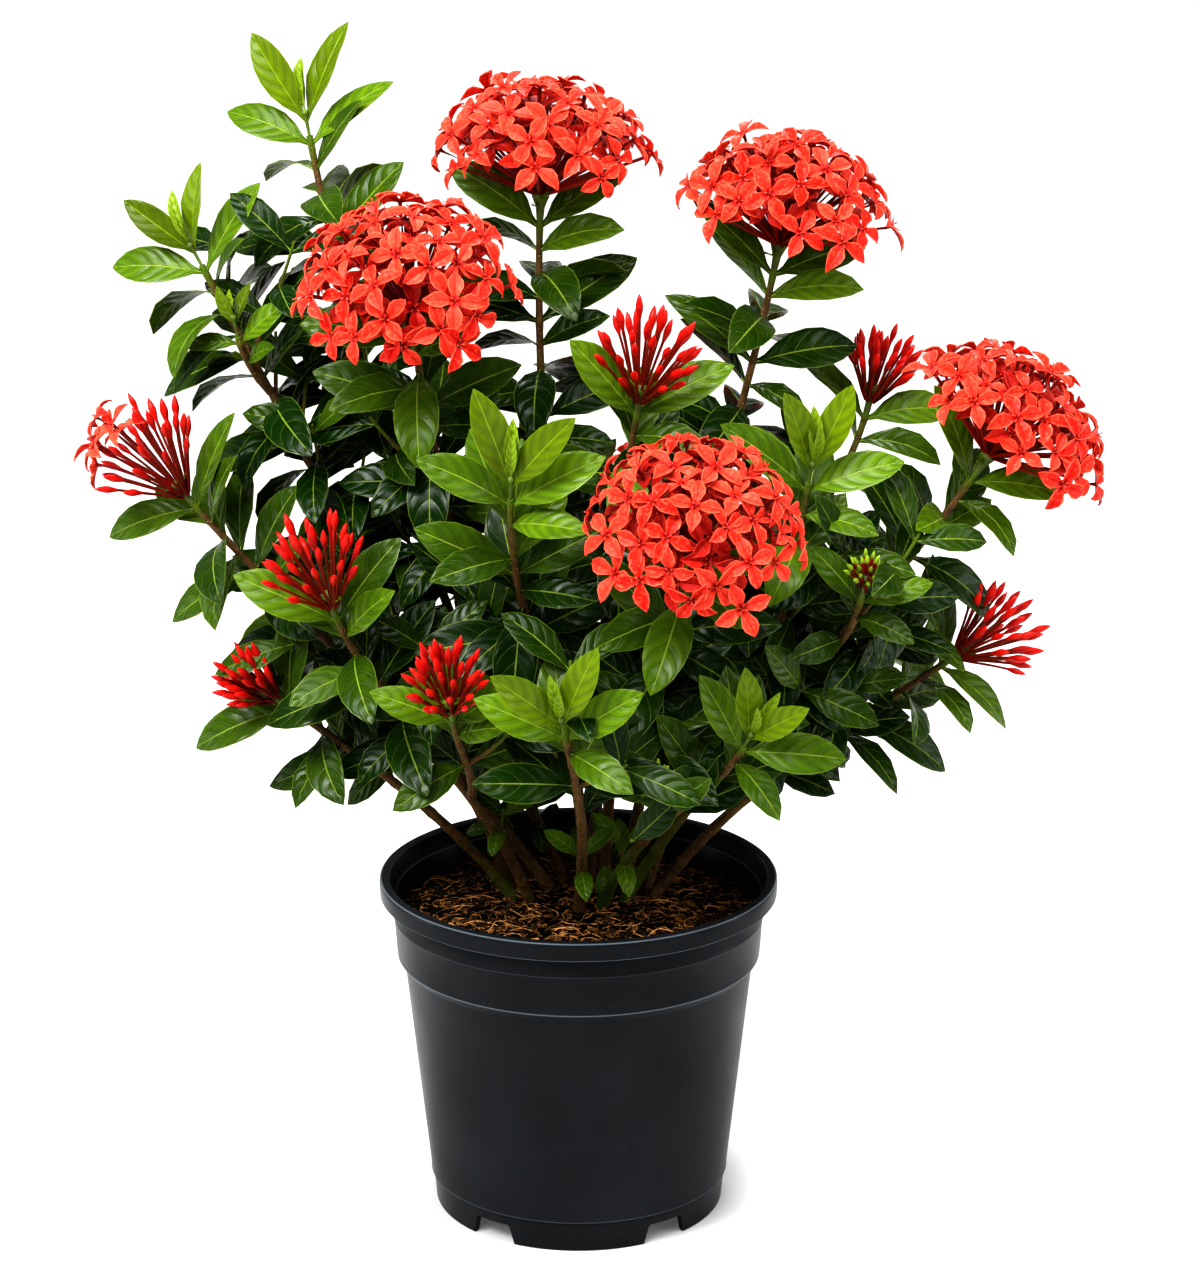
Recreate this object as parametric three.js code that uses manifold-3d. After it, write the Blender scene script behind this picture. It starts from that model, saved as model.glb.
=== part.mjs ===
// An ixora in its nursery pot: pot, soil, forked leafy stems, flower heads, bud heads and fresh shoots.
// Millimetres, +Z up. While it is built the pot stands on z = 0 with its axis on x = 0, y = 0, and the
// side with the forward-leaning shoots faces -Y. The finished group is moved so that its origin is the
// bottom centre of its box.

import * as THREE from 'three';
import { mergeVertices } from 'three/addons/utils/BufferGeometryUtils.js';
import Module from 'manifold-3d';

const wasm = await Module();
wasm.setup();

// ---------------------------------------------------------------------------- driving dimensions

const GAP = 0.35; // between pieces that touch
const SLIVER = 0.02; // what is narrower than this after a join is closed
const DEGREE = Math.PI / 180;

const POT = {
  height: 191,
  wall: 2.2,
  rimRadius: 110,
  lipHeight: 10.5,
  lipWidth: 5.5,
  lipRound: 2.5, // height of the rounding over the lip's outer edge
  bandTopRadius: 103,
  bandFootRadius: 100.5,
  bandFootHeight: 146,
  bodyTopRadius: 96.5,
  bodyTopHeight: 141,
  bodyFootRadius: 83,
  seamHeight: 17.4,
  footRadius: 80.5,
  footWidth: 4,
  floorHeight: 13,
  floorThickness: 2.5,
  seamStep: 1,
  draft: 0.5, // by which moulded faces lean for the mould to open
  sides: 28,
};

const NOTCH = { count: 5, firstFromFront: 36, width: 28, topWidth: 22, height: 11.5, inwards: 9, depth: 14 };
const DRAIN_HOLE = { radius: 6, fromAxis: 66, sides: 6 };

const SOIL = { level: 168, moundRadius: 64, mound: 2.5, edgeWave: 1.6, edgeWaves: 3 };

const STEM = {
  baseRadius: 4.2,
  tipRadius: 1.9,
  forkRadius: 2.9,
  taperPower: 0.7,
  sides: 4, // with a leaf pair on opposite faces
  buried: 42, // length below the soil's surface
  stepLength: 84,
  holeSpare: 0.45,
};

const LEAF = {
  length: 60,
  widthShare: 0.42, // of its length
  keel: 0.6,
  fold: 8, // degrees that each half rises from the midrib
  firstPair: 5, // from the shoot's end down to its last pair of leaves
  firstSize: 0.94, // of that pair, beside the others
  arch: 28, // degrees that the blade bends down from base to tip
  fromStem: 43, // degrees between the shoot and the leaf's base, at the tip of the shoot
  fromStemGrowth: 4.5, // degrees more for each pair down the shoot
  hang: 24, // degrees more for a leaf that points out of the bush
  hangArch: 46, // degrees of bend more for such a leaf
  spacing: 27, // between pairs
  lowest: 234, // no pair grows from a stem below this height
  clearance: 0.4,
  // How wide the blade is along its length, both as shares
  stations: [[0.36, 0.93], [0.72, 0.84]],
};

// The level that a leaf's tip keeps above, so that the feet of the stems show
const SKIRT = {
  height: 250, // at the pot's axis
  toFront: 0.3, // higher for each millimetre to the front
  toSides: 0.25, // lower for each millimetre to the sides
};

// Each leaf differs a little from its rule: degrees of turn, of lean and of arch, and a share of length
const LEAF_SWAY = { turn: 12, lean: 8, arch: 10, length: 0.09 };

// From the fifth pair down the leaves of a shoot get smaller by this share a pair
const LEAF_AGEING = { from: 4, share: 0.05 };

// How much the upper face of a leaf turns to the sky, to the shoot's tip and out of the bush
const LEAF_FACE = { sky: 0.25, tip: 0.5, outward: 0.75 };

// The bush is broad and shallow. In front of `middle` (its distance along Y) the leaves hang to the
// front, behind it to the back, and behind `core` a leaf that grows to the back hangs to the back too.
const BUSH = { middle: 84, core: 8, sideways: 0.3 };

// The blades of a fresh shoot, by the quarter turn that they point to: a pair and an unopened spear
const YOUNG_LEAVES = [
  { quarter: 0, length: 52, fromStem: 23, width: 0.36, above: -5 },
  { quarter: 2, length: 52, fromStem: 23, width: 0.36, above: -5 },
  { quarter: 1, length: 30, fromStem: 9, width: 0.26, above: 1 },
];
const YOUNG_ARCH = 22;
const YOUNG_SWAY = { turn: 25, lean: 7, length: 0.1 };

const HUB = { radius: 7.5, shoulder: 0.3, stalkRadius: 2.2, stalk: 12, sides: 4 };
const HUB_SCALE = { bloom: 1, buds: 0.85, green: 0.6, fresh: 0.36 };

const BLOOM = {
  radius: 59,
  florets: 16,
  spread: 69, // degrees from the head's axis to its lowest florets
  levels: 3, // heights that neighbouring florets stand at in turn, so that their petals don't cross
  levelStep: 2.2,
};

const FLORET = {
  span: 41, // across its four petals
  petalWidth: 11.5,
  widest: 0.5, // how far out the petal is widest, as a share of its reach
  notchReach: 2.5, // from the middle to the notch between two petals
  // Heights over the end of its tube
  heart: 1.3,
  notch: -0.9,
  shoulder: 0.2,
  tip: -1.6,
};

const BUD_HEAD = { radius: 51, buds: 13, spread: 43, budLength: 18, budRadius: 4.2, neckRadius: 1.2 };
const GREEN_CLUSTER = { radius: 17, buds: 5, spread: 70, budLength: 7, budRadius: 2.4, neckRadius: 1 };
const BUD_WIDEST = 0.55; // of its length down from its tip
const BUD_REACH = { least: 0.94, sway: 0.1 }; // shares of the head's radius

const ROOT_DEPTH = 4; // how far a tube reaches past the middle of the hub that carries it
const GOLDEN_ANGLE = Math.PI * (3 - Math.sqrt(5));

const COLOUR = {
  pot: 0x26292c,
  soil: 0x2b1c12,
  stem: 0x2f5426,
  bloom: 0xf04637,
  buds: 0xc41f1c,
  fresh: 0x9fc63a,
  green: 0x6f9a2e,
};

// --------------------------------------------------------------------------------- the shoots

// Each shoot is one cubic curve: its start, two handles and its end. A shoot with no `parent` rises
// from the soil and names its node, and a fork starts at the share `at` of its parent's curve.
// `bears` is what stands on its end. `pairs` of leaves are counted down from the end.
const SHOOTS = {
  leftLow: {
    node: 'stem_left_low', route: [[-36, 20], [-70, 4, 222], [-120, -14, 264], [-158, -27, 297]],
    pairs: 6, bears: ['buds', 'bud_head_left_low', 0.66],
  },
  leftFront: {
    node: 'stem_left_front', route: [[-27, 13], [-48, -14, 245], [-108, -46, 300], [-127, -66, 358]],
    pairs: 6, bears: ['buds', 'bud_head_left_front', 1],
  },
  centreLeftFront: {
    parent: 'leftFront', at: 0.34, route: [[-54, -50, 262], [-62, -92, 290], [-65, -107, 314]],
    pairs: 3, size: 0.85, bears: ['buds', 'bud_head_front', 0.8],
  },
  leftOuter: {
    node: 'stem_left_outer', route: [[-15, 31], [-75, 20, 262], [-154, 4, 336], [-206, -8, 404]],
    pairs: 8, bears: ['buds', 'bud_head_left', 1.1],
  },
  leftTall: {
    node: 'stem_left_tall', route: [[-25, 48], [-67, 36, 262], [-147, 26, 420], [-200, 20, 527]],
    pairs: 9, bears: ['fresh', 'fresh_shoot_left', 1],
  },
  leftTallSide: {
    parent: 'leftTall', at: 0.8, route: [[-172, 14, 468], [-178, 6, 480], [-180, 2, 492]],
    pairs: 1, size: 0.6, bears: ['fresh', 'fresh_shoot_left_small', 0.5],
  },
  top: {
    node: 'stem_top', route: [[-8, 46], [-60, 44, 290], [-118, 52, 440], [-144, 60, 590]],
    pairs: 9, bears: ['fresh', 'fresh_shoot_top', 1.05],
  },
  bloomLeft: {
    parent: 'top', at: 0.36, route: [[-64, 2, 375], [-80, -24, 455], [-85, -54, 506]],
    pairs: 7, bears: ['bloom', 'bloom_left', 0.98],
  },
  centre: {
    node: 'stem_centre', route: [[6, 31], [-8, 28, 300], [-24, 31, 430], [-20, 30, 550]],
    pairs: 9, bears: ['bloom', 'bloom_top', 1.04],
  },
  centreFront: {
    parent: 'centre', at: 0.24, route: [[-16, -20, 310], [-36, -90, 370], [-34, -118, 434]],
    pairs: 6, bears: ['fresh', 'fresh_shoot_centre', 1],
  },
  front: {
    node: 'stem_front', route: [[0, -2], [4, -30, 225], [2, -112, 268], [-7, -146, 318]],
    pairs: 4, size: 0.95, bears: ['fresh', 'fresh_shoot_front', 0.95],
  },
  centreRight: {
    node: 'stem_centre_right', route: [[14, 22], [20, 4, 270], [18, -20, 380], [31, -57, 466]],
    pairs: 7, bears: ['buds', 'bud_head_centre', 1],
  },
  bloomFront: {
    parent: 'centreRight', at: 0.2, route: [[28, -40, 275], [52, -86, 350], [55, -122, 400]],
    pairs: 5, bears: ['bloom', 'bloom_front', 0.95],
  },
  frontRight: {
    node: 'stem_front_right', route: [[12, 4], [34, -40, 240], [70, -88, 262], [85, -118, 302]],
    pairs: 4, size: 0.95, bears: ['fresh', 'fresh_shoot_right_front', 0.9],
  },
  frontRightLow: {
    parent: 'frontRight', at: 0.3, route: [[36, -52, 238], [40, -88, 252], [40, -104, 270]],
    pairs: 2, size: 0.7, bears: ['green', 'green_buds_front', 1],
  },
  rightOuter: {
    node: 'stem_right_outer', route: [[25, 12], [62, 4, 245], [160, -8, 340], [211, -14, 420]],
    pairs: 8, bears: ['bloom', 'bloom_right', 0.97],
  },
  rightYoung: {
    parent: 'rightOuter', at: 0.42, route: [[104, -10, 310], [114, -34, 370], [120, -58, 427]],
    pairs: 5, bears: ['fresh', 'fresh_shoot_right', 1],
  },
  rightGreen: {
    parent: 'rightOuter', at: 0.58, route: [[138, -34, 330], [144, -58, 345], [148, -68, 368]],
    pairs: 2, size: 0.75, bears: ['green', 'green_buds_right', 1],
  },
  rightLow: {
    node: 'stem_right_low', route: [[40, 15], [85, 10, 236], [140, 6, 268], [201, 1, 312]],
    pairs: 8, size: 0.95, bears: ['buds', 'bud_head_right_low', 0.9],
  },
  rightTall: {
    node: 'stem_right_tall', route: [[26, 28], [40, 24, 290], [86, 30, 420], [105, 22, 525]],
    pairs: 9, bears: ['bloom', 'bloom_right_top', 1],
  },
  rightTallSide: {
    parent: 'rightTall', at: 0.48, route: [[100, 40, 330], [145, 46, 390], [158, 50, 440]],
    pairs: 5, bears: ['buds', 'bud_head_right', 0.75],
  },
  backLeft: {
    node: 'stem_back_left', route: [[-38, 36], [-60, 70, 236], [-118, 104, 268], [-146, 128, 305]],
    pairs: 6, bears: ['fresh', 'fresh_shoot_back_left', 0.95],
  },
  backLeftLow: {
    parent: 'backLeft', at: 0.3, route: [[-62, 104, 236], [-62, 150, 236], [-62, 176, 252]],
    pairs: 4, size: 0.9, bears: ['buds', 'bud_head_back_left', 0.8],
  },
  back: {
    node: 'stem_back', route: [[6, 48], [12, 80, 245], [34, 118, 290], [44, 142, 326]],
    pairs: 5, bears: ['bloom', 'bloom_back', 1],
  },
  backTall: {
    parent: 'back', at: 0.3, route: [[4, 92, 280], [-6, 104, 330], [-10, 108, 372]],
    pairs: 6, bears: ['fresh', 'fresh_shoot_back_tall', 0.9],
  },
  backLow: {
    parent: 'back', at: 0.25, route: [[4, 104, 226], [-12, 150, 236], [-16, 176, 262]],
    pairs: 4, size: 0.9, bears: ['fresh', 'fresh_shoot_back', 0.9],
  },
  backRight: {
    node: 'stem_back_right', route: [[38, 34], [60, 70, 240], [104, 106, 256], [124, 134, 280]],
    pairs: 6, bears: ['buds', 'bud_head_back_right', 0.9],
  },
  backRightLow: {
    parent: 'backRight', at: 0.32, route: [[90, 66, 246], [140, 84, 262], [166, 92, 292]],
    pairs: 4, size: 0.9, bears: ['fresh', 'fresh_shoot_back_right', 0.8],
  },
};

// ------------------------------------------------------------------------------ solids and vectors

const vector = ([x, y, z]) => new THREE.Vector3(x, y, z);

// The point that lies at these distances along three directions from a start
function along(start, ...steps) {
  const point = start.clone();
  for (const [direction, distance] of steps) {
    point.addScaledVector(direction, distance);
  }
  return point;
}

// A number from 0 to 1 that is always the same for the same keys
const MIX = [12.9898, 78.233, 37.719, 4.581];
const MIX_SCALE = 43758.5453;

function chance(...keys) {
  const mixed = keys.reduce((sum, key, place) => sum + key * MIX[place], 0);
  const wave = Math.sin(mixed) * MIX_SCALE;
  return wave - Math.floor(wave);
}

const swing = (...keys) => 2 * chance(...keys) - 1;

function moveVertices(geometry, place) {
  const position = geometry.attributes.position;
  const vertex = new THREE.Vector3();
  for (let index = 0; index < position.count; index += 1) {
    const moved = place(vertex.fromBufferAttribute(position, index));
    position.setXYZ(index, moved.x, moved.y, moved.z);
  }
  return geometry;
}

// A closed geometry as a solid, with its faces turned outwards
function solidOf(geometry) {
  const bare = geometry.clone();
  bare.deleteAttribute('normal');
  bare.deleteAttribute('uv');
  const merged = mergeVertices(bare, 1e-4);
  const vertProperties = new Float32Array(merged.attributes.position.array);
  const triVerts = new Uint32Array(merged.index.array);
  if (signedVolume(vertProperties, triVerts) < 0) {
    triVerts.reverse();
  }
  return new wasm.Manifold(new wasm.Mesh({ numProp: 3, vertProperties, triVerts }));
}

function signedVolume(positions, triangles) {
  const corners = [new THREE.Vector3(), new THREE.Vector3(), new THREE.Vector3()];
  let total = 0;
  for (let first = 0; first < triangles.length; first += 3) {
    corners.forEach((corner, side) => corner.fromArray(positions, 3 * triangles[first + side]));
    total += corners[0].dot(corners[1].cross(corners[2]));
  }
  return total / 6;
}

// The solids fused to one body: what the join seals inside it is filled, loose scraps are dropped, and
// the slivers that it leaves along crossing faces are closed
function joined(solids) {
  const shells = solids.reduce((whole, solid) => whole.add(solid)).decompose();
  const body = shells.reduce((largest, shell) => (shell.volume() > largest.volume() ? shell : largest));
  return body.simplify(SLIVER);
}

function meshOf(name, solid, color, roughness, metalness = 0) {
  const { vertProperties, triVerts } = solid.getMesh();
  const geometry = new THREE.BufferGeometry();
  geometry.setAttribute('position', new THREE.BufferAttribute(new Float32Array(vertProperties), 3));
  geometry.setIndex(new THREE.BufferAttribute(new Uint32Array(triVerts), 1));
  geometry.computeVertexNormals();
  const mesh = new THREE.Mesh(geometry, new THREE.MeshStandardMaterial({ color, roughness, metalness }));
  mesh.name = name;
  return mesh;
}

// A lathe solid round the Z axis from its profile of radii and heights
function turned(profile, sides) {
  const points = profile.map(([radius, height]) => new THREE.Vector2(radius, height));
  return new THREE.LatheGeometry(points, sides).rotateX(Math.PI / 2);
}

// ------------------------------------------------------------------------------------- the pot

function potSolid() {
  const lipFoot = POT.height - POT.lipHeight;
  const floorTop = POT.floorHeight + POT.floorThickness;
  const innerFoot = POT.footRadius - POT.footWidth;
  const profile = [
    [0, POT.floorHeight],
    [innerFoot + POT.draft, POT.floorHeight],
    [innerFoot, 0],
    [POT.footRadius, 0],
    [POT.bodyFootRadius - POT.seamStep, POT.seamHeight],
    [POT.bodyFootRadius, POT.seamHeight + POT.seamStep],
    [POT.bodyTopRadius, POT.bodyTopHeight],
    [POT.bandFootRadius, POT.bandFootHeight],
    [POT.bandTopRadius, lipFoot - POT.draft],
    [POT.rimRadius - POT.draft, lipFoot],
    [POT.rimRadius, POT.height - POT.lipRound],
    [POT.rimRadius - 3 * POT.draft, POT.height],
    [POT.rimRadius - POT.lipWidth, POT.height],
    ...innerWall(POT.wall),
    [0, floorTop],
  ];
  let pot = solidOf(turned(profile, POT.sides));
  for (let index = 0; index < NOTCH.count; index += 1) {
    const turn = (NOTCH.firstFromFront + (360 / NOTCH.count) * index) * DEGREE;
    pot = pot.subtract(solidOf(notchCutter().rotateZ(turn)));
    pot = pot.subtract(solidOf(drainCutter().rotateZ(turn)));
  }
  return pot;
}

// The inside of the pot from the lip down to the floor, a wall's thickness in from the outside
function innerWall(wall) {
  const floorTop = POT.floorHeight + POT.floorThickness;
  return [
    [POT.bandTopRadius - wall, POT.height - POT.lipHeight],
    [POT.bandFootRadius - wall, POT.bandFootHeight],
    [POT.bodyTopRadius - wall, POT.bodyTopHeight],
    [POT.bodyFootRadius - wall - POT.draft, floorTop],
  ];
}

// A wedge that opens the foot ring, at the front of the pot
function notchCutter() {
  const shape = new THREE.Shape();
  shape.moveTo(-NOTCH.width / 2, -1);
  shape.lineTo(NOTCH.width / 2, -1);
  shape.lineTo(NOTCH.topWidth / 2, NOTCH.height);
  shape.lineTo(-NOTCH.topWidth / 2, NOTCH.height);
  shape.closePath();
  const wedge = new THREE.ExtrudeGeometry(shape, { depth: NOTCH.depth, bevelEnabled: false });
  return wedge.rotateX(Math.PI / 2).translate(0, NOTCH.inwards - POT.footRadius, 0);
}

function drainCutter() {
  const height = 3 * POT.floorThickness;
  const hole = new THREE.CylinderGeometry(DRAIN_HOLE.radius, DRAIN_HOLE.radius, height, DRAIN_HOLE.sides);
  return hole.rotateX(Math.PI / 2).translate(0, -DRAIN_HOLE.fromAxis, POT.floorHeight + 1);
}

// ------------------------------------------------------------------------------------- the soil

// The soil fills the pot. Its middle is a low flat mound, and it dips and rises along the wall.
function soilSolid() {
  const floor = POT.floorHeight + POT.floorThickness + GAP;
  const wall = innerWall(POT.wall + GAP).reverse();
  const rise = (SOIL.level - POT.bandFootHeight) / (POT.height - POT.lipHeight - POT.bandFootHeight);
  const edge = POT.bandFootRadius + rise * (POT.bandTopRadius - POT.bandFootRadius) - POT.wall - GAP;
  wall[0][1] = floor;
  wall.pop();
  const top = [[edge, SOIL.level], [SOIL.moundRadius, SOIL.level + SOIL.mound], [0, SOIL.level + SOIL.mound]];
  const body = turned([[0, floor], ...wall, ...top], POT.sides);
  return solidOf(moveVertices(body, (vertex) => {
    if (vertex.z > SOIL.level - 1 && Math.hypot(vertex.x, vertex.y) > edge - 1) {
      vertex.z += SOIL.edgeWave * Math.sin(SOIL.edgeWaves * Math.atan2(vertex.y, vertex.x) + 1);
    }
    return vertex;
  }));
}

// ------------------------------------------------------------------------------------ the stems

// A shoot's curve from the soil or from its parent's curve
function curveOf(shoot) {
  const start = shoot.parent
    ? SHOOTS[shoot.parent].curve.getPoint(shoot.at)
    : new THREE.Vector3(shoot.route[0][0], shoot.route[0][1], SOIL.level);
  const rest = shoot.route.slice(shoot.parent ? 0 : 1).map(vector);
  return new THREE.CubicBezierCurve3(start, ...rest);
}

// The rough length of a shoot, from the chords of its handles
function lengthOf(shoot) {
  const { v0, v1, v2, v3 } = shoot.curve;
  return v0.distanceTo(v1) + v1.distanceTo(v2) + v2.distanceTo(v3);
}

// The point, direction and two cross directions of a shoot at the share t of its curve
function frameAt(shoot, t) {
  const share = Math.max(t, 0);
  const axis = shoot.curve.getTangent(share);
  const side = new THREE.Vector3().crossVectors(axis, new THREE.Vector3(0, 1, 0)).normalize();
  const front = new THREE.Vector3().crossVectors(side, axis).normalize();
  const point = shoot.curve.getPoint(share);
  if (t < 0) {
    point.z += t * shoot.length; // below the soil's surface a stem stands upright
  }
  return { point, axis, side, front };
}

function radiusAt(shoot, t) {
  const base = shoot.parent ? STEM.forkRadius : STEM.baseRadius;
  const taper = THREE.MathUtils.clamp(t, 0, 1) ** STEM.taperPower;
  return base + (STEM.tipRadius - base) * taper;
}

// A tapered tube with a ring of vertices at each of these shares of a shoot's curve
function tube(shoot, shares, spare = 0) {
  const steps = shares.length - 1;
  const rod = new THREE.CylinderGeometry(1, 1, 1, STEM.sides, steps, false, Math.PI / STEM.sides);
  return solidOf(moveVertices(rod, (vertex) => {
    const t = shares[Math.round((vertex.y + 0.5) * steps)];
    const { point, side, front } = frameAt(shoot, t);
    const radius = radiusAt(shoot, t) + spare;
    return along(point, [side, radius * vertex.x], [front, radius * vertex.z]);
  }));
}

function stemShares(shoot) {
  const steps = Math.max(2, Math.round(shoot.length / STEM.stepLength));
  return Array.from({ length: steps + 1 }, (_, step) => step / steps);
}

function stemTube(shoot) {
  const shares = stemShares(shoot);
  return tube(shoot, shoot.parent ? shares : [-STEM.buried / shoot.length, ...shares]);
}

// The hole that a stem stands in: wider than it all round, and a little deeper
function stemHole(shoot) {
  const depth = STEM.buried + STEM.holeSpare;
  const [surface, above] = stemShares(shoot);
  return tube(shoot, [-depth / shoot.length, surface, above], STEM.holeSpare);
}

// ----------------------------------------------------------------------------------- the leaves

// What a leaf tries until it stays clear of everything: another turn or lift in degrees, or another size
const ATTEMPTS = [
  { turn: 0, lift: 0, size: 1 },
  { turn: 16, lift: 0, size: 1 },
  { turn: -16, lift: 0, size: 1 },
  { turn: 0, lift: 14, size: 1 },
  { turn: 0, lift: -14, size: 1 },
  { turn: 30, lift: 6, size: 0.95 },
  { turn: -30, lift: 6, size: 0.95 },
  { turn: 14, lift: 20, size: 0.85 },
  { turn: -14, lift: 20, size: 0.85 },
  { turn: 8, lift: -22, size: 0.75 },
  { turn: -8, lift: 10, size: 0.62 },
];

// The level direction out of the bush at a point, for a blade that grows in the direction `out`
function outOfBush({ x, y }, out) {
  const toBack = y > BUSH.middle || (y > BUSH.core && out.y > 0.5);
  const depth = Math.max(Math.abs(y - BUSH.middle), BUSH.middle - BUSH.core);
  return new THREE.Vector3(BUSH.sideways * x, toBack ? depth : -depth, 0).normalize();
}

// The direction that the upper face of a blade along `axis` turns to
function upperFace(shootAxis, axis, outward) {
  const up = along(
    new THREE.Vector3(0, 0, LEAF_FACE.sky),
    [shootAxis, LEAF_FACE.tip],
    [outward, LEAF_FACE.outward],
  );
  return up.addScaledVector(axis, -up.dot(axis)).normalize();
}

// Where a leaf grows and how it lies
function leafPlace(shoot, pair, half, attempt) {
  const frame = frameAt(shoot, 1 - (LEAF.firstPair + LEAF.spacing * pair) / shoot.length);
  const keys = [shoot.number, pair, half];
  const turn = 90 * pair + 180 * half + LEAF_SWAY.turn * swing(...keys, 1) + attempt.turn;
  const out = along(
    new THREE.Vector3(),
    [frame.side, Math.cos(turn * DEGREE)],
    [frame.front, Math.sin(turn * DEGREE)],
  );
  const outward = outOfBush(frame.point, out);
  const hanging = Math.max(0, out.dot(outward));
  const fromStem = LEAF.fromStem + LEAF.fromStemGrowth * Math.min(pair, 6) + LEAF.hang * hanging;
  const lean = (fromStem + LEAF_SWAY.lean * swing(...keys, 2) - attempt.lift) * DEGREE;
  const axis = along(new THREE.Vector3(), [frame.axis, Math.cos(lean)], [out, Math.sin(lean)]);
  const up = upperFace(frame.axis, axis, outward);
  const ageing = pair === 0
    ? LEAF.firstSize
    : 1 - LEAF_AGEING.share * Math.max(0, pair - LEAF_AGEING.from);
  const drawn = 1 + LEAF_SWAY.length * swing(...keys, 3);
  const length = LEAF.length * shoot.size * ageing * drawn * attempt.size;
  const arch = LEAF.arch + LEAF.hangArch * hanging + LEAF_SWAY.arch * swing(...keys, 4);
  return { base: frame.point, axis, up, length, arch };
}

// A point of a blade: `share` along its midrib, `across` from it and `rise` above its face
function bladePoint(leaf, share, across, rise) {
  const arch = leaf.arch * DEGREE;
  const bend = arch * share;
  const side = new THREE.Vector3().crossVectors(leaf.axis, leaf.up);
  const normal = along(new THREE.Vector3(), [leaf.up, Math.cos(bend)], [leaf.axis, Math.sin(bend)]);
  const folded = rise + Math.abs(across) * Math.tan(LEAF.fold * DEGREE);
  return along(
    leaf.base,
    [leaf.axis, (leaf.length * Math.sin(bend)) / arch],
    [leaf.up, (leaf.length * (Math.cos(bend) - 1)) / arch],
    [side, across],
    [normal, folded],
  );
}

// A blade is a spindle with three long edges: its two margins, and the keel under its midrib
function bladeSolid(leaf, spare = 0) {
  const width = (leaf.width ?? LEAF.widthShare) * leaf.length;
  const stations = LEAF.stations.map(([share, breadth]) => new THREE.Vector2(breadth, share));
  const end = 1 + spare / leaf.length;
  const profile = [new THREE.Vector2(0, 0), ...stations, new THREE.Vector2(0, end)];
  const spindle = new THREE.LatheGeometry(profile, 3);
  const marginReach = Math.sin(120 * DEGREE);
  return solidOf(moveVertices(spindle, ({ x, y, z }) => bladePoint(
    leaf,
    y,
    (x / marginReach) * (width / 2 + spare),
    -z * (LEAF.keel + spare),
  )));
}

const boxOf = (solid) => {
  const { min, max } = solid.boundingBox();
  return new THREE.Box3(vector(min), vector(max));
};

// What already has its place, so that a leaf can be bent clear of it
const taken = [];

function take(solid, owner) {
  taken.push({ solid, box: boxOf(solid), owner });
}

function hangsTooLow(leaf) {
  const tip = bladePoint(leaf, 1, 0, 0);
  const level = SKIRT.height - SKIRT.toFront * tip.y - SKIRT.toSides * Math.abs(tip.x);
  return leaf.base.z < LEAF.lowest || tip.z < level;
}

// The blade of the first attempt that stays clear of everything else, if there is one
function fittedBlade(shoot, pair, half) {
  const pairKey = `${shoot.name} ${pair}`;
  for (const attempt of ATTEMPTS) {
    const leaf = leafPlace(shoot, pair, half, attempt);
    if (hangsTooLow(leaf)) {
      return null;
    }
    const guard = bladeSolid(leaf, LEAF.clearance);
    const box = boxOf(guard);
    const clear = taken.every((other) => other.owner === shoot.name
      || other.owner === pairKey
      || !box.intersectsBox(other.box)
      || guard.intersect(other.solid).isEmpty());
    if (clear) {
      const blade = bladeSolid(leaf);
      take(blade, pairKey);
      return blade;
    }
  }
  return null;
}

function shootLeaves(shoot) {
  const blades = [];
  for (let pair = 0; pair < shoot.pairs; pair += 1) {
    for (const half of [0, 1]) {
      blades.push(fittedBlade(shoot, pair, half));
    }
  }
  return blades.filter(Boolean);
}

// ------------------------------------------------------------------- heads, buds and fresh shoots

// The frame of a head that stands on a shoot's end: the middle of its hub and three directions
function headFrame(shoot) {
  const { point, axis, side, front } = frameAt(shoot, 1);
  return { middle: along(point, [axis, HUB.stalk + GAP]), axis, side, front };
}

const inFrame = ({ middle, axis, side, front }, x, y, z) => along(
  middle, [side, x], [front, y], [axis, z],
);

function hubSolid(frame, scale) {
  const radius = HUB.radius * scale;
  const profile = [
    [0, -HUB.stalk],
    [HUB.stalkRadius, -HUB.stalk],
    [radius, -HUB.shoulder * radius],
    [0, radius],
  ];
  return solidOf(moveVertices(turned(profile, HUB.sides), ({ x, y, z }) => inFrame(frame, x, y, z)));
}

// Directions spread evenly over a cap of a sphere, as turn and tilt from the head's axis
function capDirections(count, spread) {
  const lowest = Math.cos(spread * DEGREE);
  return Array.from({ length: count }, (_, index) => ({
    turn: index * GOLDEN_ANGLE,
    tilt: Math.acos(1 - ((1 - lowest) * (index + 0.5)) / count),
    index,
  }));
}

// The frame of one floret or bud, whose axis leaves the hub in the given direction
function tiltedFrame(frame, { turn, tilt }) {
  const out = along(new THREE.Vector3(), [frame.side, Math.cos(turn)], [frame.front, Math.sin(turn)]);
  const axis = along(new THREE.Vector3(), [frame.axis, Math.cos(tilt)], [out, Math.sin(tilt)]);
  const side = along(new THREE.Vector3(), [out, Math.cos(tilt)], [frame.axis, -Math.sin(tilt)]);
  return { middle: frame.middle, axis, side, front: new THREE.Vector3().crossVectors(axis, side) };
}

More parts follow.
